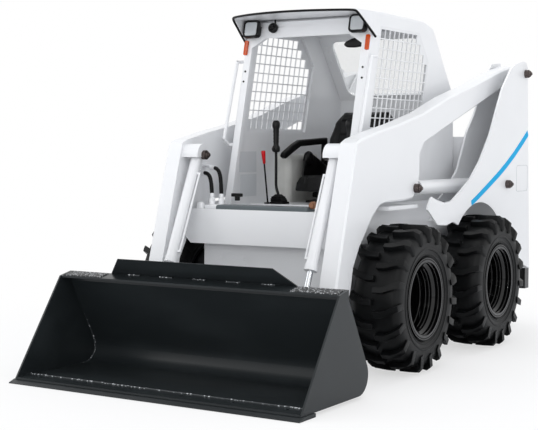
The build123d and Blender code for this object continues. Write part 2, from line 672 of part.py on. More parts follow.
def behind(up, out):
    """(u, z) at a distance up the bucket's back, and out behind it."""
    return (
        BACK_LOW[0] + up * BACK_DIR[0] + out * BACK_DIR[1],
        BACK_LOW[1] + up * BACK_DIR[1] - out * BACK_DIR[0],
    )


# x of the inner face of each ear, for the left half
EARS = (
    TILT_EAR_IN,
    TILT_X + TILT_EYE_W / 2 + EAR_GAP,
    ARM_X + ARM_W + EAR_GAP,
)
with BuildPart() as hitch:
    plate = (behind(0, 0), behind(back_len, 0), behind(back_len, HITCH_T), behind(0, HITCH_T))
    extrude(outline(-HITCH_HALF, plate), amount=2 * HITCH_HALF)
    for s in (1, -1):
        for x in EARS:
            with BuildSketch(side(s * x)):
                with BuildLine():
                    Polyline(behind(8, 20), ARM_PIN, HITCH_TOP, behind(back_len - 60, 20), close=True)
                make_face()
                with Locations(ARM_PIN):
                    Circle(2 * ARM_PIN_R)
                if x != EARS[2]:
                    with Locations(HITCH_TOP):
                        Circle(HITCH_EAR_R)
            extrude(amount=s * EAR_T)
        with BuildSketch(side(s * EARS[1])):
            with Locations(ARM_PIN):
                Circle(ARM_PIN_R)
        extrude(amount=s * (EARS[2] - EARS[1] + EAR_T))
hitch.part.label = "hitch_frame"
export_step(hitch.part, "parts/hitch_frame.step")

BACK_TURN = math.degrees(math.atan2(BACK_DIR[1], BACK_DIR[0]))  # from the floor round the heel to the back
# (u, z) where the heel's bend ends at the back, and of the bend's centre
HEEL_END = behind((FLOOR_Z + HEEL_R * (1 - BACK_DIR[0]) - BACK_LOW[1]) / BACK_DIR[1], 0)
HEEL = (HEEL_END[0] - HEEL_R * BACK_DIR[1], FLOOR_Z + HEEL_R)
HEEL_STRIPS = 4
STRIP_GAP = 0.05  # degrees between strips
SHELL_HALF = BUCKET_W / 2 - EDGE_LAP - BUCKET_WALL
with BuildPart() as bucket_floor:
    with BuildSketch(side(-SHELL_HALF)):
        with Locations((FLOOR_FRONT, FLOOR_Z)):
            Rectangle(HEEL[0] - FLOOR_FRONT, BUCKET_WALL, align=(Align.MIN, Align.MIN))
    extrude(amount=2 * SHELL_HALF)
    with Locations(*[at(x, EDGE_BOLT_U, FLOOR_Z) for x in EDGE_BOLT_X]):
        Cylinder(EDGE_BOLT_R, 4 * BUCKET_WALL, mode=Mode.SUBTRACT)
bucket_floor.part.label = "bucket_floor"
export_step(bucket_floor.part, "parts/bucket_floor.step")

# the heel is one bent plate, in strips that are each nearly flat
strip_turn = BACK_TURN / HEEL_STRIPS
with BuildPart() as bucket_heel:
    for i in range(HEEL_STRIPS):
        with BuildSketch(side(-SHELL_HALF)):
            with BuildLine():
                arc = CenterArc(HEEL, HEEL_R, i * strip_turn - 90, strip_turn - STRIP_GAP)
                inner = CenterArc(HEEL, HEEL_R - BUCKET_WALL, i * strip_turn - 90, strip_turn - STRIP_GAP)
                Line(arc @ 0, inner @ 0)
                Line(arc @ 1, inner @ 1)
            make_face()
        extrude(amount=2 * SHELL_HALF)
bucket_heel.part.label = "bucket_heel"
export_step(bucket_heel.part, "parts/bucket_heel.step")

with BuildPart() as bucket_back:
    with BuildSketch(side(-SHELL_HALF)):
        with BuildLine():
            Polyline(HEEL_END, BACK_TOP, LIP_BACK, LIP_FRONT)
            offset(amount=BUCKET_WALL, side=Side.LEFT, kind=Kind.INTERSECTION)
        make_face()
    extrude(amount=2 * SHELL_HALF)
bucket_back.part.label = "bucket_back"
export_step(bucket_back.part, "parts/bucket_back.step")

for name, s in SIDES:
    with BuildPart() as bucket_side:
        with BuildSketch(side(s * SHELL_HALF)):
            with BuildLine():
                Polyline(HEEL_END, BACK_TOP, LIP_BACK, LIP_FRONT, (FLOOR_FRONT, FLOOR_Z), (HEEL[0], FLOOR_Z))
                CenterArc(HEEL, HEEL_R, -90, BACK_TURN)
            make_face()
        extrude(amount=s * BUCKET_WALL)
    bucket_side.part.label = f"bucket_side_{name}"
    export_step(bucket_side.part, f"parts/bucket_side_{name}.step")

with BuildPart() as cutting_edge:
    edge = (
        (-BUCKET_REACH, 0.0),
        (-BUCKET_REACH + EDGE_D, 0.0),
        (-BUCKET_REACH + EDGE_D, FLOOR_Z),
        (-BUCKET_REACH + EDGE_BEVEL, FLOOR_Z),
        (-BUCKET_REACH, 4.0),
    )
    extrude(outline(-BUCKET_W / 2, edge), amount=BUCKET_W)
    with Locations(*[at(x, EDGE_BOLT_U, FLOOR_Z) for x in EDGE_BOLT_X]):
        Cylinder(EDGE_BOLT_R, 3 * FLOOR_Z, mode=Mode.SUBTRACT)
cutting_edge.part.label = "cutting_edge"
export_step(cutting_edge.part, "parts/cutting_edge.step")

GUARD_LOW_HALF = 580.0
GUARD_TOP_HALF = 480.0
GUARD_TOP = (-1010.0, 636.0)
GUARD_T = 8.0
GUARD_FLANGE = 40.0  # down the back of the lip
with BuildPart() as spill_guard:
    guard = (
        (LIP_BACK[0], LIP_BACK[1] - GUARD_FLANGE),
        (LIP_BACK[0] + GUARD_T, LIP_BACK[1] - GUARD_FLANGE),
        (LIP_BACK[0] + GUARD_T, LIP_BACK[1] + GUARD_T / 2),
        (GUARD_TOP[0] + GUARD_T, GUARD_TOP[1]),
        GUARD_TOP,
        LIP_BACK,
    )
    extrude(outline(-GUARD_LOW_HALF, guard), amount=2 * GUARD_LOW_HALF)
    with BuildSketch(Plane(origin=(0, AXLE_F + GUARD_TOP[0], 0), x_dir=(1, 0, 0), z_dir=(0, -1, 0))):
        with BuildLine():
            Polyline(
                (-GUARD_LOW_HALF, 0),
                (GUARD_LOW_HALF, 0),
                (GUARD_LOW_HALF, LIP_BACK[1]),
                (GUARD_TOP_HALF, GUARD_TOP[1]),
                (-GUARD_TOP_HALF, GUARD_TOP[1]),
                (-GUARD_LOW_HALF, LIP_BACK[1]),
                close=True,
            )
        make_face()
    extrude(amount=-2 * (LIP_BACK[0] - GUARD_TOP[0]), mode=Mode.INTERSECT)
spill_guard.part.label = "spill_guard"
export_step(spill_guard.part, "parts/spill_guard.step")

# ---- Hydraulic cylinders ----
# name, x, base pin, rod pin, barrel radius, rod radius, barrel length, eye radius, eye width, pin radius,
# the piston end of the rod from the base pin with the bucket on the ground, and the length of the oil pipe
CYLINDERS = (
    ("lift", ARM_MID, LIFT_BASE, LIFT_TIP, LIFT_R, LIFT_ROD_R, LIFT_BARREL_L,
     LIFT_EYE_R, LIFT_EYE_W, LIFT_PIN_R, 95.0, 0.0),
    ("tilt", TILT_X, TILT_TOP, HITCH_TOP, TILT_R, TILT_ROD_R, TILT_BARREL_L,
     TILT_EYE_R, TILT_EYE_W, TILT_PIN_R, 165.0, 480.0),
)
PIPE_R = 6.0
PIPE_GAP = 8.0  # between a cylinder and its oil pipe
PIPE_START = 110.0  # from the base pin
BORE_START = 80.0  # closed end of each bore from the base pin
GLAND_L = 34.0
GLAND_T = 3.0
EYE_BITE = 0.7  # how far out of its eye a tube or rod starts, as a share of the eye's radius
for kind, x, base, tip, barrel_r, rod_r, barrel_l, eye_r, eye_w, pin_r, rod_start, pipe_l in CYLINDERS:
    for name, s in SIDES:
        with BuildPart() as barrel:
            with BuildSketch(between(s * x, base, tip, eye_r * EYE_BITE)):
                Circle(barrel_r)
            extrude(amount=barrel_l - eye_r * EYE_BITE)
            with BuildSketch(between(s * x, base, tip, barrel_l - GLAND_L)):
                Circle(barrel_r + GLAND_T)
            extrude(amount=GLAND_L)
            if pipe_l:
                pipe_x = x - barrel_r - PIPE_GAP - PIPE_R
                with BuildSketch(between(s * pipe_x, base, tip, PIPE_START)):
                    Circle(PIPE_R)
                extrude(amount=pipe_l)
                for place in (PIPE_START, PIPE_START + pipe_l - 2 * PIPE_R):
                    with BuildSketch(between(s * (pipe_x + x) / 2, base, tip, place)):
                        Rectangle(x - pipe_x, 2 * PIPE_R)
                    extrude(amount=2 * PIPE_R)
            with BuildSketch(between(s * x, base, tip, BORE_START)):
                Circle(rod_r + RUNNING)
            extrude(amount=barrel_l, mode=Mode.SUBTRACT)
            with Locations(across(s * x, base)):
                Cylinder(eye_r, eye_w)
                Cylinder(pin_r + RUNNING, 2 * eye_w, mode=Mode.SUBTRACT)
        barrel.part.label = f"{kind}_barrel_{name}"
        export_step(barrel.part, f"parts/{kind}_barrel_{name}.step")

        with BuildPart() as rod:
            reach = math.dist(base, tip)
            with BuildSketch(between(s * x, base, tip, rod_start)):
                Circle(rod_r)
            extrude(amount=reach - rod_start - eye_r * EYE_BITE)
            with Locations(across(s * x, tip)):
                Cylinder(eye_r, eye_w)
                Cylinder(pin_r, 2 * eye_w, mode=Mode.SUBTRACT)
        rod.part.label = f"{kind}_rod_{name}"
        export_step(rod.part, f"parts/{kind}_rod_{name}.step")

# ---- Cab ----
FASCIA = ((140.0, 1860.0), (165.0, 1960.0))  # low and high ends of the panel over the doorway
POST_LOW = (-95.0, 918.0)  # where the front posts begin to lean
REAR_SLOPE = ((CAB_REAR - 315.0, 1955.0), (CAB_REAR, 1545.0))
CAB_OUTLINE = (
    (-150.0, CAB_BOTTOM),
    POST_LOW,
    *FASCIA,
    (260.0, ROOF_Z),
    (CAB_REAR - 450.0, 1990.0),
    *REAR_SLOPE,
    (CAB_REAR, CAB_BOTTOM),
)
CAB_ROUND = 14.0
SILL_Z = 890.0
DOORWAY_D = 700.0
# x and z of the doorway's left half, from the sill up
DOORWAY = ((CAB_HALF - POST_W, SILL_Z), (CAB_HALF - POST_W, 1812.0), (200.0, 1918.0))
REAR_WINDOW = (640.0, 430.0)
REAR_WINDOW_R = 60.0
MESH_U = 129.0
MESH_Z = 1333.0
MESH_PITCH = (60.0, 56.8)
MESH_LEAN = 0.25  # the bars lean back with the front posts
MESH_BAR = 6.0
MESH_ROWS = (11, 11, 11, 11, 11, 11, 11, 10, 9, 8)  # openings in each row, from the bottom up
MESH_T = 6.0


def crossing(column, row):
    """(u, z) where two bars of the side window cross."""
    rise = row * MESH_PITCH[1]
    return (MESH_U + column * MESH_PITCH[0] + MESH_LEAN * rise, MESH_Z + rise)


WINDOW_CORNERS = ((-0.25, -0.25), (-0.25, 10.25), (8.4, 10.25), (11.3, 7.3), (11.25, -0.25))
WINDOW = [crossing(*place) for place in WINDOW_CORNERS]
with BuildPart() as cab:
    extrude(outline(-CAB_HALF, CAB_OUTLINE), amount=2 * CAB_HALF)
    for end in (0, -1):
        fillet(cab.faces().sort_by(Axis.X)[end].edges().sort_by(Axis.Z)[1:], CAB_ROUND)
    with BuildSketch(side(-CAB_HALF + CAB_WALL)):
        with BuildLine():
            Polyline(*CAB_OUTLINE, close=True)
        make_face()
        offset(amount=-CAB_WALL, kind=Kind.INTERSECTION, mode=Mode.REPLACE)
        with Locations((CAB_REAR - CAB_WALL, CAB_BOTTOM - CAB_WALL)):
            Rectangle(CAB_REAR - CAB_WALL + 110.0, 3 * CAB_WALL, align=(Align.MAX, Align.MIN))
    extrude(amount=2 * (CAB_HALF - CAB_WALL), mode=Mode.SUBTRACT)
    with BuildSketch(Plane(origin=(0, AXLE_F - DOORWAY_D / 2, 0), x_dir=(1, 0, 0), z_dir=(0, -1, 0))):
        with BuildLine():
            Polyline(*DOORWAY, *[(-x, z) for x, z in reversed(DOORWAY)], close=True)
        make_face()
    extrude(amount=-DOORWAY_D, mode=Mode.SUBTRACT)
    extrude(outline(-2 * CAB_HALF, WINDOW), amount=4 * CAB_HALF, mode=Mode.SUBTRACT)
    with BuildSketch(slope(*REAR_SLOPE).offset(CAB_WALL)):
        with Locations((0, math.dist(*REAR_SLOPE) / 2)):
            RectangleRounded(*REAR_WINDOW, REAR_WINDOW_R)
    extrude(amount=-3 * CAB_WALL, mode=Mode.SUBTRACT)
cab.part.label = "cab_frame"
export_step(cab.part, "parts/cab_frame.step")

GLASS_T = 6.0
with BuildPart() as rear_window:
    with BuildSketch(slope(*REAR_SLOPE).offset(-CAB_WALL / 2)):
        with Locations((0, math.dist(*REAR_SLOPE) / 2)):
            RectangleRounded(*[size - 2 * SEAT_GAP for size in REAR_WINDOW], REAR_WINDOW_R)
    extrude(amount=GLASS_T)
rear_window.part.label = "rear_window"
export_step(rear_window.part, "parts/rear_window.step")

CROSSINGS = [crossing(column, row) for row, count in enumerate(MESH_ROWS) for column in range(count)]
mesh_run = MESH_PITCH[0] - MESH_BAR
mesh_rise = MESH_PITCH[1] - MESH_BAR
mesh_slip = MESH_LEAN * mesh_rise
OPENING = ((0, 0), (mesh_run, 0), (mesh_run + mesh_slip, mesh_rise), (mesh_slip, mesh_rise))
for name, s in SIDES:
    with BuildPart() as mesh:
        with BuildSketch(side(s * (CAB_HALF - MESH_T))):
            with BuildLine():
                Polyline(*WINDOW, close=True)
            make_face()
            with Locations(*[(u + MESH_BAR / 2, z + MESH_BAR / 2) for u, z in CROSSINGS]):
                Polygon(*OPENING, align=None, mode=Mode.SUBTRACT)
        extrude(amount=s * MESH_T)
    mesh.part.label = f"side_mesh_{name}"
    export_step(mesh.part, f"parts/side_mesh_{name}.step")

# ---- Lamps and handles on the cab ----
LAMP_BODY = 78.0
LAMP_BEZEL = 104.0
LAMP_D = 60.0
BEZEL_D = 22.0
LAMP_R = 22.0
LAMP_RIM = 10.0
LAMP_X = 355.0
LAMP_UP = 50.0  # along the panel, from its low edge
with BuildPart() as work_lamps:
    for s in (1, -1):
        with BuildSketch(slope(*FASCIA)):
            with Locations((s * LAMP_X, LAMP_UP)):
                RectangleRounded(LAMP_BODY, LAMP_BODY, LAMP_R)
        extrude(amount=LAMP_D)
        with BuildSketch(slope(*FASCIA).offset(LAMP_D)):
            with Locations((s * LAMP_X, LAMP_UP)):
                RectangleRounded(LAMP_BEZEL, LAMP_BEZEL, LAMP_R)
        extrude(amount=-BEZEL_D)
        with BuildSketch(slope(*FASCIA).offset(LAMP_D)):
            with Locations((s * LAMP_X, LAMP_UP)):
                RectangleRounded(LAMP_BEZEL - 2 * LAMP_RIM, LAMP_BEZEL - 2 * LAMP_RIM, LAMP_R - LAMP_RIM)
        extrude(amount=-LAMP_RIM, mode=Mode.SUBTRACT)
work_lamps.part.label = "work_lamps"
export_step(work_lamps.part, "parts/work_lamps.step")

TURN_LAMP = (24.0, 88.0)
TURN_LAMP_D = 11.0
TURN_LAMP_X = 407.0
TURN_LAMP_Z = 1813.0
POST_LINE = (POST_LOW, FASCIA[0])
post_run = math.dist(*POST_LINE) / (FASCIA[0][1] - POST_LOW[1])
with BuildPart() as turn_lamps:
    for s in (1, -1):
        with BuildSketch(slope(*POST_LINE)):
            with Locations((s * TURN_LAMP_X, (TURN_LAMP_Z - POST_LOW[1]) * post_run)):
                RectangleRounded(*TURN_LAMP, TURN_LAMP[0] / 4)
        extrude(amount=TURN_LAMP_D)
turn_lamps.part.label = "turn_lamps"
export_step(turn_lamps.part, "parts/turn_lamps.step")

HANDLE_R = 10.0
HANDLE_X = 450.0
# x, u, z along each handle, from its upper end
HANDLE = (
    (CAB_HALF, 150.0, 1735.0),
    (HANDLE_X, 150.0, 1735.0),
    (HANDLE_X, 95.0, 1730.0),
    (HANDLE_X, -50.0, 1272.0),
    (HANDLE_X, 5.0, 1237.0),
    (CAB_HALF, 5.0, 1237.0),
)
with BuildPart() as grab_handles:
    for s in (1, -1):
        with BuildLine() as path:
            Polyline(*[(s * x, AXLE_F + u, z) for x, u, z in HANDLE])
        with BuildSketch(Plane(origin=path.line @ 0, z_dir=path.line % 0)):
            Circle(HANDLE_R)
        sweep(path=path.line, transition=Transition.ROUND)
grab_handles.part.label = "grab_handles"
export_step(grab_handles.part, "parts/grab_handles.step")

# ---- Seat, its deck and the controls ----
SEAT_DECK_Z = 885.0
DECK_START = 150.0
DECK_END = CAB_REAR - 50.0
with BuildPart() as seat_deck:
    with Locations(at(0, (DECK_START + DECK_END) / 2, (DECK_Z + SEAT_DECK_Z) / 2)):
        Box(2 * (CAB_HALF - CAB_WALL), DECK_END - DECK_START, SEAT_DECK_Z - DECK_Z)
seat_deck.part.label = "seat_deck"
export_step(seat_deck.part, "parts/seat_deck.step")

SEAT_BASE = (240.0, 300.0, 70.0)
SEAT_BASE_U = 620.0
RAIL = (360.0, 360.0, 14.0)
with BuildPart() as seat_base:
    with Locations(at(0, SEAT_BASE_U, SEAT_DECK_Z + SEAT_BASE[2] / 2)):
        Box(*SEAT_BASE)
    with Locations(at(0, SEAT_BASE_U, SEAT_DECK_Z + RAIL[2] / 2)):
        Box(*RAIL)
seat_base.part.label = "seat_base"
export_step(seat_base.part, "parts/seat_base.step")

CUSHION = (460.0, 470.0, 110.0)
CUSHION_U = 610.0
CUSHION_ROUND = 34.0
BACK_LINE = ((808.0, 1000.0), (925.0, 1455.0))  # rear face of the backrest
BACK_T = 95.0
BACK_HALF = (230.0, 230.0, 145.0)  # half its width at the bottom, at the shoulders and at the top
BACK_SHOULDER = 280.0
BACK_ROUND = 28.0
CUSHION_Z = SEAT_DECK_Z + SEAT_BASE[2]
with BuildPart() as seat:
    with BuildSketch(slope(*BACK_LINE)):
        with BuildLine():
            Polyline(
                (-BACK_HALF[0], 0),
                (BACK_HALF[0], 0),
                (BACK_HALF[1], BACK_SHOULDER),
                (BACK_HALF[2], math.dist(*BACK_LINE)),
                (-BACK_HALF[2], math.dist(*BACK_LINE)),
                (-BACK_HALF[1], BACK_SHOULDER),
                close=True,
            )
        make_face()
    extrude(amount=BACK_T)
    fillet(seat.edges(), BACK_ROUND)
    with BuildPart(mode=Mode.PRIVATE) as cushion:
        with Locations(at(0, CUSHION_U, CUSHION_Z + CUSHION[2] / 2)):
            Box(*CUSHION)
        fillet(cushion.edges().filter_by(Axis.Z), 2 * CUSHION_ROUND)
        fillet(cushion.edges().group_by(Axis.Z)[-1], CUSHION_ROUND)
    add(cushion.part)
seat.part.label = "seat"
export_step(seat.part, "parts/seat.step")

REST_X = 250.0
REST_W = 35.0
# u, z round each armrest with its bracket, from the rear of the pad
REST = (
    (845.0, 1285.0),
    (500.0, 1268.0),
    (440.0, 1247.0),
    (318.0, 1192.0),
    (305.0, 1165.0),
    (332.0, 1152.0),
    (452.0, 1205.0),
    (512.0, 1228.0),
    (812.0, 1243.0),
    (800.0, 1000.0),
    (745.0, 940.0),
    (700.0, 940.0),
    (700.0, 905.0),
    (780.0, 905.0),
    (845.0, 990.0),
)
with BuildPart() as arm_rests:
    for s in (1, -1):
        extrude(outline(s * REST_X, REST), amount=s * REST_W)
        foot = ((700.0, 905.0), (745.0, 905.0), (745.0, 940.0), (700.0, 940.0))
        extrude(outline(s * SEAT_BASE[0] / 2, foot), amount=s * (REST_X - SEAT_BASE[0] / 2))
arm_rests.part.label = "arm_rests"
export_step(arm_rests.part, "parts/arm_rests.step")

CONSOLE = (105.0, 370.0, 295.0)
CONSOLE_U = 615.0
CONSOLE_ROUND = 38.0
with BuildPart() as side_consoles:
    for s in (1, -1):
        with BuildPart(mode=Mode.PRIVATE) as console:
            console_x = CAB_HALF - CAB_WALL - CONSOLE[0] / 2
            with Locations(at(s * console_x, CONSOLE_U, SEAT_DECK_Z + CONSOLE[2] / 2)):
                Box(*CONSOLE)
            inner = console.edges().group_by(Axis.X)[0 if s > 0 else -1]
            fillet(inner.sort_by(Axis.Z)[1:], CONSOLE_ROUND)
        add(console.part)
side_consoles.part.label = "side_consoles"
export_step(side_consoles.part, "parts/side_consoles.step")

LEVER_PLACE = (250.0, 210.0)  # x and u
BOOT = (90.0, 95.0, 16.0)
BOOT_IN = 25.0  # from the lever to the boot's middle, toward the seat
# radius and height above the deck, up one lever
LEVER = (
    (0.0, 10.0),
    (26.0, 10.0),
    (24.0, 24.0),
    (13.0, 50.0),
    (8.0, 62.0),
    (8.0, 312.0),
    (22.0, 318.0),
    (24.0, 345.0),
    (16.0, 360.0),
    (17.0, 440.0),
    (22.0, 470.0),
    (20.0, 488.0),
    (10.0, 498.0),
    (0.0, 500.0),
)
for name, s in SIDES:
    with BuildPart() as lever:
        with Locations(at(s * (LEVER_PLACE[0] - BOOT_IN), LEVER_PLACE[1], SEAT_DECK_Z + BOOT[2] / 2)):
            Box(*BOOT)
        foot = (s * LEVER_PLACE[0], AXLE_F + LEVER_PLACE[1], SEAT_DECK_Z)
        plane = Plane(origin=foot, x_dir=(1, 0, 0), z_dir=(0, -1, 0))
        with BuildSketch(plane):
            with BuildLine():
                Polyline(*LEVER, close=True)
            make_face()
        revolve(axis=Axis((s * LEVER_PLACE[0], AXLE_F + LEVER_PLACE[1], 0), (0, 0, 1)))
    lever.part.label = f"control_lever_{name}"
    export_step(lever.part, f"parts/control_lever_{name}.step")

BRAKE_X = -285.0
BRAKE = ((172.0, SEAT_DECK_Z), (120.0, 1203.0))  # foot and top of the lever
BRAKE_R = 5.0
KNOB_R = (8.0, 13.0)
KNOB_L = 76.0
with BuildPart() as brake_lever:
    length = math.dist(*BRAKE)
    with BuildSketch(side(BRAKE_X - BRAKE_R)):
        with BuildLine():
            Polyline(
                (BRAKE[0][0] - 3 * BRAKE_R, SEAT_DECK_Z),
                (BRAKE[0][0] + 3 * BRAKE_R, SEAT_DECK_Z),
                (BRAKE[0][0] + BRAKE_R, SEAT_DECK_Z + 6 * BRAKE_R),
                (BRAKE[0][0] - 3 * BRAKE_R, SEAT_DECK_Z + 6 * BRAKE_R),
                close=True,
            )
        make_face()
    extrude(amount=2 * BRAKE_R)
    with BuildSketch(between(BRAKE_X, *BRAKE, 2 * BRAKE_R)):
        Circle(BRAKE_R)
    extrude(amount=length - 4 * BRAKE_R)
    with BuildSketch(between(BRAKE_X, *BRAKE, length - KNOB_L)):
        Circle(KNOB_R[0])
    with BuildSketch(between(BRAKE_X, *BRAKE, length)):
        Circle(KNOB_R[1])
    loft()
brake_lever.part.label = "brake_lever"
export_step(brake_lever.part, "parts/brake_lever.step")

# ---- Visor over the cab's front ----
VISOR_T = 12.0
VISOR_TOP = ROOF_Z - VISOR_T
VISOR_BACK = 230.0
VISOR_FRONT_HALF = 411.0
VISOR_FRONT = -12.0  # u of the front corners
VISOR_NOSE = -140.0  # u of the middle of the curved front edge
VISOR_LOW = (156.0, 1855.0)
WING_T = 8.0
visor_half = CAB_HALF + VISOR_T
with BuildPart() as visor:
    with BuildSketch(Plane.XY.offset(VISOR_TOP - VISOR_T)):
        with BuildLine():
            Polyline(
                (VISOR_FRONT_HALF, AXLE_F + VISOR_FRONT),
                (visor_half, AXLE_F + VISOR_LOW[0]),
                (-visor_half, AXLE_F + VISOR_LOW[0]),
                (-VISOR_FRONT_HALF, AXLE_F + VISOR_FRONT),
            )
            ThreePointArc(
                (-VISOR_FRONT_HALF, AXLE_F + VISOR_FRONT),
                (0.0, AXLE_F + VISOR_NOSE),
                (VISOR_FRONT_HALF, AXLE_F + VISOR_FRONT),
            )
        make_face()
    extrude(amount=VISOR_T)
    for s in (1, -1):
        gusset = (
            VISOR_LOW,
            (VISOR_BACK, VISOR_LOW[1]),
            (VISOR_BACK, VISOR_TOP),
            (VISOR_LOW[0], VISOR_TOP),
        )
        extrude(outline(s * CAB_HALF, gusset), amount=s * VISOR_T)
        run = (s * (visor_half - VISOR_FRONT_HALF), VISOR_LOW[0] - VISOR_FRONT)
        wing_l = math.hypot(*run)
        with BuildSketch(
            Plane(
                origin=(s * VISOR_FRONT_HALF, AXLE_F + VISOR_FRONT, 0),
                x_dir=(*run, 0),
                z_dir=(run[1], -run[0], 0),
            )
        ):
            with BuildLine():
                Polyline(
                    (0, VISOR_TOP),
                    (0, VISOR_TOP - VISOR_T),
                    (wing_l, VISOR_LOW[1]),
                    (wing_l, VISOR_TOP),
                    close=True,
                )
            make_face()
        extrude(amount=-s * WING_T)
visor.part.label = "cab_visor"
export_step(visor.part, "parts/cab_visor.step")

# ---- Tail lamps on the towers ----
TAIL_LAMP = (110.0, 60.0)
TAIL_LAMP_D = 24.0
TAIL_LAMP_Z = 1350.0
TAIL_LAMP_X = (INNER_OUT + OUTER_X) / 2
with BuildPart() as tail_lamps:
    for s in (1, -1):
        with BuildSketch(slope(OUTER_TOP[1], OUTER_TOP[0])):
            with Locations((s * TAIL_LAMP_X, OUTER_TOP[1][1] - TAIL_LAMP_Z)):
                RectangleRounded(*TAIL_LAMP, TAIL_LAMP[1] / 4)
        extrude(amount=TAIL_LAMP_D)
tail_lamps.part.label = "tail_lamps"
export_step(tail_lamps.part, "parts/tail_lamps.step")
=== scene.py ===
import bpy
import json
import math
from functools import partial
from mathutils import Matrix, Vector


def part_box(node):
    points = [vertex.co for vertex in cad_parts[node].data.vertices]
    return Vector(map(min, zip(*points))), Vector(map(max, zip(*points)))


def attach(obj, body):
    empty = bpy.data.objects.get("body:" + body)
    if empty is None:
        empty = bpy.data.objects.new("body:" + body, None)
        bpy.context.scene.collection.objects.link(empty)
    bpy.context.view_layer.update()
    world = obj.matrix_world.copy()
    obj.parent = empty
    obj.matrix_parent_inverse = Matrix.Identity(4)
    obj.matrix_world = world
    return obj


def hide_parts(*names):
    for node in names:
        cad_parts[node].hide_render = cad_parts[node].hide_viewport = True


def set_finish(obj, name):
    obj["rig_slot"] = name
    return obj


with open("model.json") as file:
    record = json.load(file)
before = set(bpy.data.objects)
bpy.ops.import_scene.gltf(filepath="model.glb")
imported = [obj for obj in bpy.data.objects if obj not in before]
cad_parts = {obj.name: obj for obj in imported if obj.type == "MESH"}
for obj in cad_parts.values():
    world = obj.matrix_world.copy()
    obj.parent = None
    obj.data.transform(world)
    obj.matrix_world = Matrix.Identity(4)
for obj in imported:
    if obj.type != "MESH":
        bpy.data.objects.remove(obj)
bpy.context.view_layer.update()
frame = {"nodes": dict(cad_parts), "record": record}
NODES = frame["nodes"]

bl_info = {
    "name": "Skid steer loader",
    "version": (1, 0, 0),
    "blender": (4, 5, 0),
    "location": "3D View > Sidebar > Loader",
    "description": "Finishes, trim and soft parts of a skid steer loader, on its packed frame",
    "category": "Object",
}


# ---- Small tools ----
def linear(colour):
    """Scene-linear RGBA of an sRGB hex colour."""
    parts = [int(colour[i:i + 2], 16) / 255 for i in (1, 3, 5)]
    return tuple(c / 12.92 if c <= 0.04045 else ((c + 0.055) / 1.055) ** 2.4 for c in parts) + (1.0,)


def per_mm(size):
    """Scale of a pattern on Object coordinates whose features are so many millimetres wide."""
    return 1000.0 / size


def node(tree, kind, settings=None, **inputs):
    """Adds a node with its settings. An input goes by its name, or by its number as i0, i1 and so on.

    It takes a value, or a link as (node, output).
    """
    made = tree.nodes.new(kind)
    for key, value in (settings or {}).items():
        setattr(made, key, value)
    for key, value in inputs.items():
        numbered = key[0] == "i" and key[1:].isdigit()
        plug = made.inputs[int(key[1:]) if numbered else key.replace("_", " ")]
        if isinstance(value, tuple) and isinstance(value[0], bpy.types.Node):
            tree.links.new(value[0].outputs[value[1]], plug)
        else:
            plug.default_value = value
    return made


def start_material(name):
    """An empty material, its tree and a link to the places on the piece, in metres."""
    made = bpy.data.materials.new(name)
    made.use_nodes = True
    made.node_tree.nodes.clear()
    coordinates = node(made.node_tree, "ShaderNodeTexCoord")
    return made, made.node_tree, (coordinates, "Object")


# ---- Finishes ----
def painted_steel(name, colour, worn, roughness, peel=0.02, coat=0.3, dust=0.12, shine=0.5):
    """Enamel or powder coat on steel: even colour, orange peel about 5 mm wide and a thin film of dust."""
    made, tree, place = start_material(name)
    cloud = node(tree, "ShaderNodeTexNoise", Vector=place, Scale=per_mm(420), Detail=4.0)
    film = node(tree, "ShaderNodeMapRange", Value=(cloud, "Fac"), From_Min=0.42, From_Max=0.72, To_Max=dust)
    tint = node(
        tree, "ShaderNodeMix", {"data_type": "RGBA"}, Factor=(film, 0), i6=linear(colour), i7=linear(worn))
    orange = node(tree, "ShaderNodeTexNoise", Vector=place, Scale=per_mm(5), Detail=1.0)
    waves = node(tree, "ShaderNodeBump", Strength=peel, Distance=0.001, Height=(orange, "Fac"))
    rub = node(
        tree, "ShaderNodeMapRange", Value=(cloud, "Fac"), From_Min=0.3, From_Max=0.7,
        To_Min=roughness, To_Max=roughness + 0.08)
    shader = node(
        tree, "ShaderNodeBsdfPrincipled", Base_Color=(tint, 2), Roughness=(rub, 0), IOR=1.5,
        Specular_IOR_Level=shine, Coat_Weight=coat, Coat_Roughness=0.08, Normal=(waves, 0))
    node(tree, "ShaderNodeOutputMaterial", Surface=(shader, 0))
    return made


def bucket_enamel(name, colour, scuffed):
    """Satin enamel over rolled plate: brushed by the load in long faint streaks, with fine scratches.

    The scratches are drawn 9 mm apart, coarser than the real ones, so that they show.
    """
    made, tree, place = start_material(name)
    stretch = node(tree, "ShaderNodeMapping", Vector=place, Scale=(0.35, 1.0, 1.0))
    cloud = node(tree, "ShaderNodeTexNoise", Vector=(stretch, 0), Scale=per_mm(180), Detail=5.0)
    film = node(tree, "ShaderNodeMapRange", Value=(cloud, "Fac"), From_Min=0.45, From_Max=0.75, To_Max=0.35)
    tint = node(
        tree, "ShaderNodeMix", {"data_type": "RGBA"}, Factor=(film, 0),
        i6=linear(colour), i7=linear(scuffed))
    fine = node(tree, "ShaderNodeTexNoise", Vector=(stretch, 0), Scale=per_mm(9), Detail=3.0)
    scratches = node(tree, "ShaderNodeBump", Strength=0.06, Distance=0.001, Height=(fine, "Fac"))
    rub = node(
        tree, "ShaderNodeMapRange", Value=(cloud, "Fac"), From_Min=0.3, From_Max=0.7,
        To_Min=0.28, To_Max=0.38)
    shader = node(
        tree, "ShaderNodeBsdfPrincipled", Base_Color=(tint, 2), Roughness=(rub, 0), IOR=1.5,
        Specular_IOR_Level=0.26, Coat_Weight=0.05, Coat_Roughness=0.2, Normal=(scratches, 0))
    node(tree, "ShaderNodeOutputMaterial", Surface=(shader, 0))
    return made


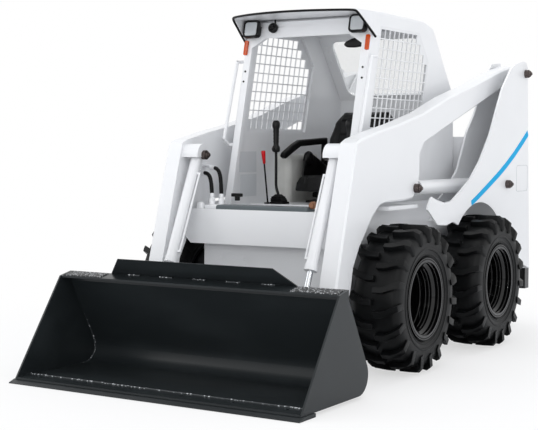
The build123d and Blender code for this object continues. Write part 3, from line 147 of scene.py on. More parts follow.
def moulded(name, colour, roughness, grain_mm=1.2, depth=0.15, light=1.1, shine=0.3):
    """Moulded plastic or rubber, with a grain from the tool and a slight unevenness of shade.

    The grain is drawn 1 to 3 mm wide, coarser than the real one, so that it shows.
    """
    made, tree, place = start_material(name)
    grain = node(tree, "ShaderNodeTexNoise", Vector=place, Scale=per_mm(grain_mm), Detail=2.0)
    cloud = node(tree, "ShaderNodeTexNoise", Vector=place, Scale=per_mm(160), Detail=3.0)
    shade = node(
        tree, "ShaderNodeMapRange", Value=(cloud, "Fac"), From_Min=0.3, From_Max=0.7,
        To_Min=0.86, To_Max=light)
    tint = node(
        tree, "ShaderNodeMix", {"data_type": "RGBA", "blend_type": "MULTIPLY"}, Factor=1.0,
        i6=linear(colour), i7=(shade, 0))
    pits = node(tree, "ShaderNodeBump", Strength=depth, Distance=0.0006, Height=(grain, "Fac"))
    shader = node(
        tree, "ShaderNodeBsdfPrincipled", Base_Color=(tint, 2), Roughness=roughness, IOR=1.5,
        Specular_IOR_Level=shine, Normal=(pits, 0))
    node(tree, "ShaderNodeOutputMaterial", Surface=(shader, 0))
    return made


def leathered(name, colour, crease_shade):
    """Coated cloth seat cover: cells with painted shade in the creases between them, worn shinier in
    patches.

    The cells are drawn 3 mm wide, coarser than the real ones, so that they show.
    """
    made, tree, place = start_material(name)
    cells = node(
        tree, "ShaderNodeTexVoronoi", {"feature": "DISTANCE_TO_EDGE"}, Vector=place, Scale=per_mm(3))
    high = node(tree, "ShaderNodeMapRange", Value=(cells, "Distance"), From_Min=0.0, From_Max=0.25)
    cloud = node(tree, "ShaderNodeTexNoise", Vector=place, Scale=per_mm(90), Detail=3.0)
    rub = node(
        tree, "ShaderNodeMapRange", Value=(cloud, "Fac"), From_Min=0.3, From_Max=0.7,
        To_Min=0.42, To_Max=0.58)
    # painted shade: the creases between the cells are coloured darker
    tint = node(
        tree, "ShaderNodeMix", {"data_type": "RGBA"}, Factor=(high, 0),
        i6=linear(crease_shade), i7=linear(colour))
    grain = node(tree, "ShaderNodeBump", Strength=0.35, Distance=0.0006, Height=(high, 0))
    shader = node(
        tree, "ShaderNodeBsdfPrincipled", Base_Color=(tint, 2), Roughness=(rub, 0), IOR=1.5,
        Specular_IOR_Level=0.25, Normal=(grain, 0))
    node(tree, "ShaderNodeOutputMaterial", Surface=(shader, 0))
    return made


def bright_metal(name, colour, roughness):
    """Ground or plated steel: its gloss is broken by faint marks, drawn 2.5 mm wide so that they show."""
    made, tree, place = start_material(name)
    marks = node(tree, "ShaderNodeTexNoise", Vector=place, Scale=per_mm(2.5), Detail=3.0)
    rub = node(
        tree, "ShaderNodeMapRange", Value=(marks, "Fac"), From_Min=0.3, From_Max=0.7,
        To_Min=roughness, To_Max=roughness + 0.12)
    shader = node(
        tree, "ShaderNodeBsdfPrincipled", Base_Color=linear(colour), Metallic=1.0, Roughness=(rub, 0))
    node(tree, "ShaderNodeOutputMaterial", Surface=(shader, 0))
    return made


def rough_strip(name, colour, grain_highlight, grain_mm):
    """Weld ripples or mineral grit on a dark ground, with a painted highlight: the raised middle of each
    grain is pale.

    The grains are drawn 11 to 16 mm wide, coarser than the real ones, so that they show.
    """
    made, tree, place = start_material(name)
    grit = node(tree, "ShaderNodeTexVoronoi", Vector=place, Scale=per_mm(grain_mm))
    pale = node(
        tree, "ShaderNodeMapRange", Value=(grit, "Distance"), From_Min=0.18, From_Max=0.42,
        To_Min=0.9, To_Max=0.0)
    # painted highlight: the raised middle of each grain is coloured pale
    tint = node(
        tree, "ShaderNodeMix", {"data_type": "RGBA"}, Factor=(pale, 0), i6=linear(colour), i7=linear(grain_highlight))
    bumps = node(tree, "ShaderNodeBump", Strength=0.8, Distance=0.002, Height=(pale, 0))
    shader = node(
        tree, "ShaderNodeBsdfPrincipled", Base_Color=(tint, 2), Roughness=0.5, IOR=1.5, Normal=(bumps, 0))
    node(tree, "ShaderNodeOutputMaterial", Surface=(shader, 0))
    return made


WAVE_RIDGE = 1 / 6  # about how wide one ridge of a wave texture is, of its own unit


def clear_lens(name, colour, roughness=0.05, through=0.35, alpha=1.0, rib_mm=12.0):
    """Acrylic or glass, tinted through, with moulded ribs."""
    made, tree, place = start_material(name)
    ribs = node(
        tree, "ShaderNodeTexWave", {"bands_direction": "X"}, Vector=place, Scale=per_mm(rib_mm) * WAVE_RIDGE)
    bump = node(tree, "ShaderNodeBump", Strength=0.3, Distance=0.001, Height=(ribs, "Fac"))
    shader = node(
        tree, "ShaderNodeBsdfPrincipled", Base_Color=linear(colour), Roughness=roughness, IOR=1.49,
        Transmission_Weight=through, Alpha=alpha, Normal=(bump, 0))
    node(tree, "ShaderNodeOutputMaterial", Surface=(shader, 0))
    return made


def make_finishes():
    """Every finish of the loader, by the name of its material slot or one of its own."""
    return {
        # body panels: bright and even, with a soft shine
        "white_paint": painted_steel("White_polyester_powder_coat", "#ECEDEF", "#DADBDD", 0.28),
        # bucket: charcoal with a satin sheen, rubbed in streaks
        "dark_paint": bucket_enamel("Charcoal_bucket_enamel", "#202426", "#33383A"),
        # rims: deep black with sharp highlights
        "black_paint": painted_steel(
            "Gloss_black_rim_enamel", "#070708", "#101011", 0.05, coat=0.25, shine=0.3),
        # steps: plain mid grey
        "grey_paint": painted_steel("Grey_step_enamel", "#4F585C", "#697074", 0.45),
        # tyres: near black and dull, paler in clouds
        "tyre_rubber": moulded("Vulcanised_tyre_rubber", "#0C0D0E", 0.42, 3.0, 0.35, 1.5, 0.16),
        # grips, housings and screws: near black with a low sheen
        "black_plastic": moulded("Black_ABS", "#0D0D0E", 0.36, shine=0.25),
        # hoses, boots and armrests: dull black
        "black_rubber": moulded("Black_EPDM_rubber", "#0B0B0C", 0.45, shine=0.15),
        # seat covers: black, with painted shade in faint creases
        "seat_vinyl": leathered("Black_seat_vinyl", "#101112", "#070708"),
        # cylinder rods and lamp bowls: mirror bright
        "chrome_rod": bright_metal("Hard_chromed_rod", "#C9CCD0", 0.12),
        # engine: dull grey with a rough skin
        "cast_block": painted_steel("Grey_cast_iron_enamel", "#6B6E70", "#4A4C4E", 0.6, peel=0.3),
        # side meshes: white, thick and smooth
        "wire_mesh": painted_steel("White_dip_coated_mesh", "#E6E7E9", "#CFD0D2", 0.4),
        # work lamps: pale and half clear
        "lamp_glass": clear_lens("Clear_lamp_glass", "#E9EDF0", 0.10, 0.45),
        # indicators: deep orange, lit through
        "lamp_lens": clear_lens("Amber_acrylic_lens", "#E0560E", 0.1),
        # tail lamps: deep red, lit through
        "red_lens": clear_lens("Red_acrylic_lens", "#B01218", 0.1),
        # windows: hardly seen but for their shine
        "window_glass": clear_lens("Clear_window_glass", "#F2F6F7", 0.02, 0.35, 0.2, 900.0),
        # consoles: pale and silky
        "pod_plastic": moulded("Pale_grey_polypropylene", "#CDCDC9", 0.4),
        # rolled edges of the rims: black, without shine
        "rim_edge": painted_steel("Satin_black_rim_edge", "#060607", "#0C0C0D", 0.3, coat=0.0, shine=0.1),
        # wheel nuts: bright pale metal
        "zinc_bolt": bright_metal("Zinc_plated_steel", "#C4C7CA", 0.15),
        # nuts and caps on the pins: dark metal with a glint
        "pin_nut": bright_metal("Black_oxide_steel", "#5A5250", 0.22),
        # brake knob: glossy red
        "red_knob": moulded("Red_glossy_nylon", "#C8141C", 0.25, 1.2, 0.05),
        # coupling cap: warm brown, smooth
        "brown_cap": moulded("Brown_phenolic", "#8A6046", 0.35, 1.5, 0.1),
        # stripe: flat, clear blue
        "stripe_film": painted_steel(
            "Cyan_vinyl_film", "#00A8E0", "#00A0D8", 0.4, peel=0.0, coat=0.0, shine=0.08),
        # joints round the covers: a fine grey line
        "joint_line": moulded("Grey_panel_joint", "#A9ACB0", 0.6),
        # blank plates: pale and flat
        "blank_plate": painted_steel("Printed_aluminium_plate_blank", "#D9DCDF", "#CDD0D3", 0.4, peel=0.0),
        # painted shade under the roof: a pale grey sheet, soft and without shine
        "grey_lining": moulded("Pale_grey_painted_roof_shade", "#B9BBBE", 0.8, 2.5, 0.3),
        # weld beads: dark, with painted highlights as bright spots on their ripples
        "weld_bead": rough_strip("Weld_bead_painted_glints", "#33373A", "#D2D5D8", 16.0),
        # grip strips: black grit, with painted highlights as pale specks on its grains
        "grip_strip": rough_strip("Grit_coated_strip", "#17181A", "#D0D3D6", 11.0),
    }


FINISH = make_finishes()


def dress(obj, name):
    """Gives an object one finish."""
    obj.data.materials.clear()
    obj.data.materials.append(FINISH[name])


# ---- Where things are ----
RIM_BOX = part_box("rim_fl")
FRONT_AXLE = (RIM_BOX[0][1] + RIM_BOX[1][1]) / 2
WHEEL_X = (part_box("tyre_fl")[0][0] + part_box("tyre_fl")[1][0]) / 2
TYRE_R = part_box("tyre_fl")[1][2] / 2
WHEELBASE = (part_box("rim_rl")[0][1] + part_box("rim_rl")[1][1]) / 2 - FRONT_AXLE
SIDE_FACE = 0.700  # outer face of the outer side frame
SIDES = (("l", 1), ("r", -1))
WHEELS = (("fl", 1, 0.0), ("fr", -1, 0.0), ("rl", 1, WHEELBASE), ("rr", -1, WHEELBASE))
SLOTS = {part["material_slot"] for part in frame["record"]["subparts"]}


def at(x, u, z):
    """A place x to the left, u behind the front axle and z up, in metres."""
    return Vector((x, u + FRONT_AXLE, z))


FASCIA_UP = Vector((0.0, 0.2425, 0.9701))  # up along the panel over the doorway, which leans back 1 in 4
FASCIA_OUT = Vector((0.0, -0.9701, 0.2425))  # straight out of it


def on_fascia(x, up, out):
    """A place so far to the left on that panel, so far up it and so far out of it."""
    return at(x, 0.140, 1.860) + FASCIA_UP * up + FASCIA_OUT * out


def face_met(node_name, start, way):
    """Where a line from a start along a way meets a node of the frame."""
    hit, spot, *_ = NODES[node_name].ray_cast(start, way)
    if not hit:
        raise RuntimeError(f"no face of {node_name} where a piece sits on it")
    return spot


def rounded(low, high, radius, steps):
    """Outline of a rectangle with round corners, from the middles of two opposite corners' arcs."""
    middles = (high, (low[0], high[1]), low, (high[0], low[1]))
    turns = [(quarter, 90 * quarter + 90 / steps * k) for quarter in range(4) for k in range(steps + 1)]
    return [
        (middles[quarter][0] + radius * math.cos(math.radians(turn)),
         middles[quarter][1] + radius * math.sin(math.radians(turn))) for quarter, turn in turns
    ]


# ---- Modelling ----
def clear():
    """Leaves edit mode, with nothing selected."""
    if bpy.context.mode != "OBJECT":
        bpy.ops.object.mode_set(mode="OBJECT")
    bpy.ops.object.select_all(action="DESELECT")


def pick(made):
    """Makes one piece the selected and active one."""
    clear()
    made.select_set(True)
    bpy.context.view_layer.objects.active = made


def edit(made):
    """Opens one piece in edit mode, with all of it selected."""
    pick(made)
    bpy.ops.object.mode_set(mode="EDIT")
    bpy.ops.mesh.select_all(action="SELECT")


def face_through(points):
    """A face through the points, open in edit mode and selected."""
    clear()
    bpy.ops.mesh.primitive_circle_add(vertices=len(points), radius=0.1, fill_type="NGON")
    made = bpy.context.active_object
    for vertex, point in zip(made.data.vertices, points):
        vertex.co = point
    bpy.ops.object.mode_set(mode="EDIT")
    bpy.ops.mesh.select_all(action="SELECT")
    return made


def push(move):
    """Extrudes what is selected along a vector."""
    bpy.ops.mesh.extrude_region_move(TRANSFORM_OT_translate={"value": tuple(move)})


def ease(width, segments=2):
    """Rounds every edge of the open piece."""
    bpy.ops.mesh.select_all(action="SELECT")
    bpy.ops.mesh.bevel(offset=width, segments=segments, affect="EDGES", clamp_overlap=True)


def plate(points, move, width=0.0, segments=2):
    """A plate: the outline pushed along a vector, with its edges rounded."""
    made = face_through(points)
    push(move)
    if width:
        ease(width, segments)
    return made


def block(low, high, width, segments=2):
    """A bar or box between two corners, with its edges rounded."""
    low, high = Vector(low), Vector(high)
    base = [(x, y, low.z) for x, y in ((low.x, low.y), (high.x, low.y), (high.x, high.y), (low.x, high.y))]
    return plate(base, (0, 0, high.z - low.z), width, segments)


def turned(spot, axis, steps, vertices=32):
    """A turned form, from its distances along the axis and the radius at each; open in edit mode."""
    clear()
    spot, axis = Vector(spot), Vector(axis).normalized()
    bpy.ops.mesh.primitive_circle_add(
        vertices=vertices, radius=steps[0][1], fill_type="NGON", location=spot + axis * steps[0][0],
        rotation=axis.to_track_quat("Z", "Y").to_euler(),
    )
    made = bpy.context.active_object
    bpy.ops.object.transform_apply(location=True, rotation=True, scale=True)
    bpy.ops.object.mode_set(mode="EDIT")
    bpy.ops.mesh.select_all(action="SELECT")
    for (start, radius), (end, wider) in zip(steps, steps[1:]):
        push(axis * (end - start))
        bpy.ops.transform.resize(value=(wider / radius,) * 3, center_override=tuple(spot + axis * end))
    return made


def tube(points, radius, sides=3):
    """A round tube along a smooth line, with closed ends."""
    clear()
    bpy.ops.curve.primitive_nurbs_path_add()
    made = bpy.context.active_object
    line = made.data.splines[0]
    line.points.add(len(points) - len(line.points))
    for spot, point in zip(line.points, points):
        spot.co = (*point, 1.0)
    line.order_u = 3
    line.use_endpoint_u = True
    line.resolution_u = 6
    made.data.bevel_depth = radius
    made.data.bevel_resolution = sides
    made.data.use_fill_caps = True
    bpy.ops.object.convert(target="MESH")
    return bpy.context.active_object


def joined(pieces):
    """Several forms as one piece."""
    clear()
    for made in pieces:
        made.select_set(True)
    bpy.context.view_layer.objects.active = pieces[0]
    bpy.ops.object.join()
    return pieces[0]


def belongs(made, name, finish, body):
    """Names a piece and gives it its finish and the body that it rides on."""
    made.name = name
    made.data.name = name
    dress(made, finish)
    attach(made, body)
    if finish in SLOTS:
        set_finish(made, finish)
    return made


def done(made, name, finish, body, angle=40.0):
    """Closes a piece: its place in its mesh, faces outwards, smooth within the angle."""
    pick(made)
    bpy.ops.object.transform_apply(location=True, rotation=True, scale=True)
    edit(made)
    bpy.ops.mesh.remove_doubles(threshold=0.00002)
    bpy.ops.mesh.normals_make_consistent(inside=False)
    bpy.ops.object.mode_set(mode="OBJECT")
    bpy.ops.object.shade_smooth_by_angle(angle=math.radians(angle))
    return belongs(made, name, finish, body)


def twin(made, name, body, move=(0, 0, 0), flip=False):
    """A copy of a finished piece with its own mesh, moved and, on the other side, mirrored."""
    mesh = made.data.copy()
    if flip:
        mesh.transform(Matrix.Scale(-1, 4, (1, 0, 0)))
        mesh.flip_normals()
    mesh.transform(Matrix.Translation(move))
    copy = bpy.data.objects.new(name, mesh)
    bpy.context.scene.collection.objects.link(copy)
    copy.name = name
    mesh.name = name
    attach(copy, body)
    if "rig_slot" in made:
        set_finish(copy, made["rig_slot"])
    return copy


# ---- Settings ----
class LoaderStageSettings(bpy.types.PropertyGroup):
    """Sizes and colours of the floor, the lights and the view."""

    floor_colour: bpy.props.StringProperty(
        name="Floor colour", description="Floor colour, as sRGB hex", default="#F4F4F5")
    focal_length: bpy.props.FloatProperty(
        name="Focal length", description="Focal length on a 36 mm sensor", default=82.8, unit="CAMERA")
    key_power: bpy.props.FloatProperty(
        name="Key light", description="Power of the main softbox", default=240.0, unit="POWER")
    surroundings: bpy.props.FloatProperty(
        name="Surroundings", description="Strength of the light from all round", default=0.83)


# ---- Frame ----
class LOADER_OT_finishes(bpy.types.Operator):
    """Gives every node of the frame the finish of its material slot"""

    bl_idname = "loader.finishes"
    bl_label = "Finish the frame"

    def execute(self, context):
        slots = {part["node"]: part["material_slot"] for part in frame["record"]["subparts"]}
        slots["bulkhead"] = "white_paint"  # the cab is white inside as well
        for name, obj in NODES.items():
            dress(obj, slots[name])
        return {"FINISHED"}


# ---- Wheels ----
class LoaderWheelSettings(bpy.types.PropertyGroup):
    """How many lugs and nuts a wheel has, and where the nuts are."""

    lugs: bpy.props.IntProperty(
        name="Lugs", description="Lugs in each of a tyre's two rows", default=19, min=8)
    nuts: bpy.props.IntProperty(
        name="Wheel nuts", description="Nuts on each wheel", default=8, min=4)
    nut_circle: bpy.props.FloatProperty(
        name="Nut circle", description="Radius of the circle of wheel nuts", default=0.1016, unit="LENGTH")


WHEEL_MIDDLE = Vector((WHEEL_X, FRONT_AXLE, TYRE_R))  # of the front left wheel, which is modelled and copied
ROUND_STEPS = 72  # steps that a tyre or a bead is spun in


def spun(points):
    """A ring: a closed outline spun round the front left wheel's axle; open in edit mode."""
    made = face_through(points)
    bpy.ops.mesh.delete(type="ONLY_FACE")
    bpy.ops.mesh.select_all(action="SELECT")
    bpy.ops.mesh.spin(steps=ROUND_STEPS, angle=2 * math.pi, center=WHEEL_MIDDLE, axis=(1, 0, 0))
    return made


def repeated(made, count):
    """A piece and its copies, evenly round that axle; open in edit mode."""
    edit(made)
    bpy.ops.mesh.spin(
        steps=count - 1, dupli=True, angle=2 * math.pi * (count - 1) / count,
        center=WHEEL_MIDDLE, axis=(1, 0, 0))
    return made


# down the outer half of a tyre's skin and under its bead: distance out from its middle, and radius
TYRE_SKIN = (
    (0.060, 0.3720), (0.100, 0.3690), (0.120, 0.3600), (0.131, 0.3460), (0.1365, 0.3240),
    (0.1380, 0.3000), (0.1365, 0.2790), (0.1395, 0.2750), (0.1395, 0.2680), (0.1340, 0.2640),
    (0.1310, 0.2500), (0.1330, 0.2460), (0.1330, 0.2420), (0.1285, 0.2390), (0.1240, 0.2290),
    (0.1185, 0.2255), (0.1180, 0.2100),
)
# round one lug, seen from outside: distance out from the tyre's middle, place along the tread,
# and the radius at the lug's top and at its foot
LUG_PLAN = (
    (0.002, -0.034, 0.4020, 0.350), (0.052, -0.034, 0.4020, 0.350), (0.118, -0.010, 0.4015, 0.345),
    (0.145, 0.002, 0.3760, 0.300), (0.145, 0.038, 0.3790, 0.312), (0.118, 0.026, 0.4015, 0.345),
    (0.058, -0.001, 0.4020, 0.350), (0.002, -0.002, 0.4020, 0.350),
)


class LOADER_OT_tyres(bpy.types.Operator):
    """Models one lugged tyre and copies it to the four wheels"""

    bl_idname = "loader.tyres"
    bl_label = "Tyres"

    def execute(self, context):
        lugs = context.scene.loader_wheels.lugs
        ring = list(TYRE_SKIN) + [(-out, radius) for out, radius in reversed(TYRE_SKIN)]
        skin = spun([WHEEL_MIDDLE + Vector((out, 0, radius)) for out, radius in ring])
        bpy.ops.mesh.select_all(action="SELECT")
        bpy.ops.mesh.remove_doubles(threshold=0.0001)
        rows = [skin]
        for side, shift in ((1, 0.0), (-1, 0.5)):
            lug = face_through([
                WHEEL_MIDDLE + Vector((side * out, along, foot)) for out, along, top, foot in LUG_PLAN])
            push((0, 0, 0.03))
            clear()
            # each corner of the top face goes to its own height
            for vertex in lug.data.vertices:
                if vertex.select:
                    place = (vertex.co - WHEEL_MIDDLE).xy
                    near = min(LUG_PLAN, key=lambda p: (Vector((side * p[0], p[1])) - place).length)
                    vertex.co.z = WHEEL_MIDDLE.z + near[2]
            edit(lug)
            ease(0.0022, 1)
            clear()
            turn = Matrix.Rotation(math.radians(360.0 / lugs * shift), 4, "X")
            lug.data.transform(Matrix.Translation(WHEEL_MIDDLE) @ turn @ Matrix.Translation(-WHEEL_MIDDLE))
            rows.append(repeated(lug, lugs))
        tyre = done(joined(rows), "tyre_tread_fl", "tyre_rubber", "wheel_fl", 34.0)
        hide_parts("tyre_fl")
        for name, side, u in WHEELS[1:]:
            copy = twin(tyre, f"tyre_tread_{name}", f"wheel_{name}", (0, u, 0), side < 0)
            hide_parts(f"tyre_{name}")
        return {"FINISHED"}


class LOADER_OT_wheel_trim(bpy.types.Operator):
    """Adds the rims' rolled edges and beads, the hub caps and the wheel nuts"""

    bl_idname = "loader.wheel_trim"
    bl_label = "Wheel nuts and hub caps"

    def execute(self, context):
        settings = context.scene.loader_wheels
        out = (1, 0, 0)
        thick = 0.0050  # radius of a bead's own section

        def bead(x, radius):
            middle = WHEEL_MIDDLE + Vector((x, 0, radius))
            turns = [i * math.pi / 5 for i in range(10)]
            return spun([middle + Vector((thick * math.cos(a), 0, thick * math.sin(a))) for a in turns])

        edge = bead(0.1275, 0.2150)
        beads = [bead(x, radius) for x, radius in (
            (0.110, 0.1995), (0.062, 0.1845), (0.040, 0.1845), (0.006, 0.1845))]
        cap = turned(WHEEL_MIDDLE, out, (
            (-0.030, 0.071), (-0.012, 0.071), (-0.009, 0.068), (-0.009, 0.058), (0.002, 0.055),
            (0.004, 0.052), (0.004, 0.030), (0.014, 0.027), (0.017, 0.022),
        ), 40)
        seat = turned(WHEEL_MIDDLE, out, (
            (-0.056, 0.124), (-0.050, 0.122), (-0.050, 0.082), (-0.054, 0.080)), 56)
        hub = done(joined([cap, seat] + beads), "hub_cap_fl", "black_paint", "wheel_fl", 30.0)
        edge = done(edge, "rim_edge_fl", "rim_edge", "wheel_fl", 60.0)
        first = WHEEL_MIDDLE + Vector((0, 0, settings.nut_circle))
        nut = turned(first, out, (
            (-0.052, 0.019), (-0.047, 0.019), (-0.0465, 0.0165), (-0.031, 0.0165), (-0.029, 0.0145)), 6)
        stud = turned(first, out, ((-0.030, 0.0085), (-0.020, 0.0085), (-0.018, 0.007)), 14)
        nuts = repeated(joined([nut, stud]), settings.nuts)
        nuts = done(nuts, "wheel_nuts_fl", "zinc_bolt", "wheel_fl", 25.0)
        for name, side, u in WHEELS[1:]:
            for made, what in ((edge, "rim_edge"), (hub, "hub_cap"), (nuts, "wheel_nuts")):
                twin(made, f"{what}_{name}", f"wheel_{name}", (0, u, 0), side < 0)
        return {"FINISHED"}


# ---- Cab front ----
VISOR_ARC = 0.7238  # radius of the line that the visor's edging follows round the front
VISOR_ARC_U = 0.5828  # how far the middle of that arc is behind the front axle
LAMP_X, LAMP_UP = 0.355, 0.050  # a work lamp's middle on the panel over the doorway


class LOADER_OT_visor_edge(bpy.types.Operator):
    """Adds the visor's rubber edging, the panel and strip behind it, and the screws of the cab's posts"""

    bl_idname = "loader.visor_edge"
    bl_label = "Visor edging and screws"

    def execute(self, context):
        wing = [
            at(0.436, 0.166, 1.845), at(0.434, 0.150, 1.858), at(0.428, 0.100, 1.893),
            at(0.420, 0.045, 1.933), at(0.414, 0.002, 1.963), at(0.408, -0.018, 1.979),
        ]
        across = [i * 0.054 for i in range(7, -8, -1)]
        front = [at(x, VISOR_ARC_U - math.sqrt(VISOR_ARC**2 - x**2), 1.982) for x in across]
        other_wing = [Vector((-p.x, p.y, p.z)) for p in reversed(wing)]
        done(tube(wing + front + other_wing, 0.0068, 2), "visor_edging", "black_rubber", "chassis", 60.0)
        outline = ((-0.34, 0.006), (0.34, 0.006), (0.36, 0.03), (0.36, 0.07), (-0.36, 0.07), (-0.36, 0.03))
        panel = plate([on_fascia(x, up, 0.0) for x, up in outline], FASCIA_OUT * 0.003, 0.001, 1)
        done(panel, "fascia_panel", "white_paint", "chassis")
        strip = block(at(-0.418, 0.150, 1.9765), at(0.418, 0.212, 1.9875), 0.002)
        done(strip, "visor_rear_strip", "white_paint", "chassis")
        screws = [
            turned(at(side * x, u, z), FASCIA_OUT, ((-0.006, 0.0062), (0.002, 0.0062), (0.004, 0.0045)), 12)
            for x, u, z in (
                (0.393, 0.093, 1.673), (0.396, 0.078, 1.613), (0.405, -0.024, 1.181), (0.405, -0.039, 1.124),
                (0.405, -0.073, 0.985)) for side in (1, -1)
        ]
        done(joined(screws), "post_screws", "black_plastic", "chassis", 30.0)
        inwards = (0, -0.79, -0.61)  # into the cab, square to the leaning rear posts
        heads = [
            turned(at(side * 0.360, u, z), inwards, ((-0.003, 0.0085), (0.003, 0.0085), (0.005, 0.006)), 14)
            for u, z in ((1.015, 1.875), (1.039, 1.844), (1.082, 1.787)) for side in (1, -1)
        ]
        done(joined(heads), "rear_post_screws", "white_paint", "chassis", 30.0)
        return {"FINISHED"}


class LOADER_OT_lamps(bpy.types.Operator):
    """Models the work lamps' reflectors, lenses and bezels, and the horn"""

    bl_idname = "loader.lamps"
    bl_label = "Lamps and horn"

    def execute(self, context):
        half, soft = 0.0405, 0.014  # half the width of a square lens, and the radius of its corners
        lens_line = rounded((soft - half,) * 2, (half - soft,) * 2, soft, 3)
        for name, side in SIDES:
            x = side * LAMP_X
            bowl = turned(on_fascia(x, LAMP_UP, 0.0), FASCIA_OUT, (
                (0.0425, 0.0385), (0.0565, 0.0385), (0.0565, 0.0370), (0.0500, 0.0300), (0.0465, 0.0180),
                (0.0465, 0.0090), (0.0540, 0.0080), (0.0560, 0.0050),
            ), 36)
            done(bowl, f"lamp_reflector_{name}", "chrome_rod", "chassis", 50.0)
            lens = face_through([on_fascia(x + w, LAMP_UP + h, 0.0575) for w, h in lens_line])
            push(FASCIA_OUT * 0.0025)
            for step, shrink in ((0.0012, 0.86), (0.0006, 0.6)):
                push(FASCIA_OUT * step)
                middle = on_fascia(x, LAMP_UP, 0.0600 + step)
                bpy.ops.transform.resize(value=(shrink,) * 3, center_override=tuple(middle))
            done(lens, f"lamp_lens_{name}", "lamp_glass", "chassis", 30.0)
            ring = [on_fascia(x + w * 1.14, LAMP_UP + h * 1.14, 0.0570) for w, h in lens_line]
            bezel = tube(ring + ring[:2], 0.0068, 2)
            done(bezel, f"lamp_bezel_{name}", "black_plastic", "chassis", 60.0)
        base = on_fascia(-0.225, 0.062, 0.0)
        horn = turned(base, FASCIA_OUT, (
            (0.000, 0.018), (0.010, 0.018), (0.012, 0.029), (0.028, 0.029), (0.032, 0.027), (0.034, 0.022),
            (0.030, 0.019), (0.030, 0.014), (0.035, 0.011), (0.036, 0.007),
        ), 36)
        foot = base + FASCIA_UP * 0.026
        stem = block(foot - Vector((0.005, 0.004, 0)), foot + Vector((0.005, 0.0, 0.030)), 0.001)
        done(joined([horn, stem]), "horn", "black_plastic", "chassis", 35.0)
        return {"FINISHED"}


# ---- Inside the cab ----
class LoaderSeatSettings(bpy.types.PropertyGroup):
    """How the seat's covers are stuffed."""

    voxel: bpy.props.FloatProperty(
        name="Cloth mesh", description="Size of the cover's mesh faces", default=0.006, unit="LENGTH")
    pressure: bpy.props.FloatProperty(
        name="Stuffing", description="Pressure of the foam on the cover", default=4.0)
    swell: bpy.props.FloatProperty(
        name="Swell", description="Furthest that the cover swells", default=0.012, unit="LENGTH")


CLOTH_STEPS = 20  # steps of the simulation in which a cover takes its shape


def crowned(out, wall, crown, middle, border):
    """Raises the open outline into a pad: a straight wall, a crown drawn in, and a dish within a border."""
    push(out * wall)
    push(out * crown)
    bpy.ops.transform.resize(value=(0.94,) * 3, center_override=tuple(middle))
    bpy.ops.mesh.inset(thickness=border)
    bpy.ops.transform.translate(value=tuple(out * -0.012))
    ease(0.012, 3)
    clear()


def stuffed(made, rest_z, settings):
    """Swells a closed cover as cloth under pressure, flat below rest_z, and smooths it."""
    pick(made)
    shell = made.modifiers.new("mesh", "REMESH")
    shell.mode = "VOXEL"
    shell.voxel_size = settings.voxel
    bpy.ops.object.modifier_apply(modifier=shell.name)
    before = [v.co.copy() for v in made.data.vertices]
    pinned = made.vertex_groups.new(name="base")
    pinned.add([v.index for v in made.data.vertices if v.co.z < rest_z], 1.0, "REPLACE")
    cloth = made.modifiers.new("cover", "CLOTH")
    cloth.settings.quality = 4
    cloth.settings.use_pressure = True
    cloth.settings.uniform_pressure_force = settings.pressure
    cloth.settings.effector_weights.gravity = 0.0
    cloth.settings.vertex_group_mass = pinned.name
    cloth.point_cache.frame_start = 1
    cloth.point_cache.frame_end = CLOTH_STEPS
    for step in range(CLOTH_STEPS):
        bpy.context.scene.frame_set(step + 1)
    bpy.ops.object.modifier_apply(modifier=cloth.name)
    bpy.context.scene.frame_set(1)
    made.vertex_groups.clear()
    for vertex, start in zip(made.data.vertices, before):
        moved = vertex.co - start
        if moved.length > settings.swell:
            vertex.co = start + moved * (settings.swell / moved.length)
    pick(made)
    smooth = made.modifiers.new("relax", "SMOOTH")
    smooth.iterations = 6
    bpy.ops.object.modifier_apply(modifier=smooth.name)
    finer = made.modifiers.new("finer", "SUBSURF")
    finer.levels = 1
    finer.render_levels = 1
    bpy.ops.object.modifier_apply(modifier=finer.name)
    return made


def seams_of(half, crossings, along, padded):
    """A pad's seams: one down each side, so far from its middle, and one across at each crossing.

    along gives a point's place down the pad, and padded tells whether a point is on the padded face.
    """
    def down(point):
        return abs(abs(point.x) - half) if padded(point) else None

    def across(place, point):
        return abs(along(point) - place) if padded(point) and abs(point.x) < half + 0.002 else None

    return [down] + [partial(across, place) for place in crossings]


def sewn(made, seams, depth=0.006, half=0.007):
    """Draws a cover in along its seams; a seam gives a point's distance from it, or None beyond its end."""
    # the normals are read first, because each moved vertex would have them all worked out again
    normals = [vertex.normal.copy() for vertex in made.data.vertices]
    for vertex, normal in zip(made.data.vertices, normals):
        pull = 0.0
        for seam in seams:
            away = seam(vertex.co)
            if away is not None:
                pull = max(pull, math.exp(-(away / half) ** 2))
        if pull > 0.01:
            vertex.co -= normal * (depth * pull)


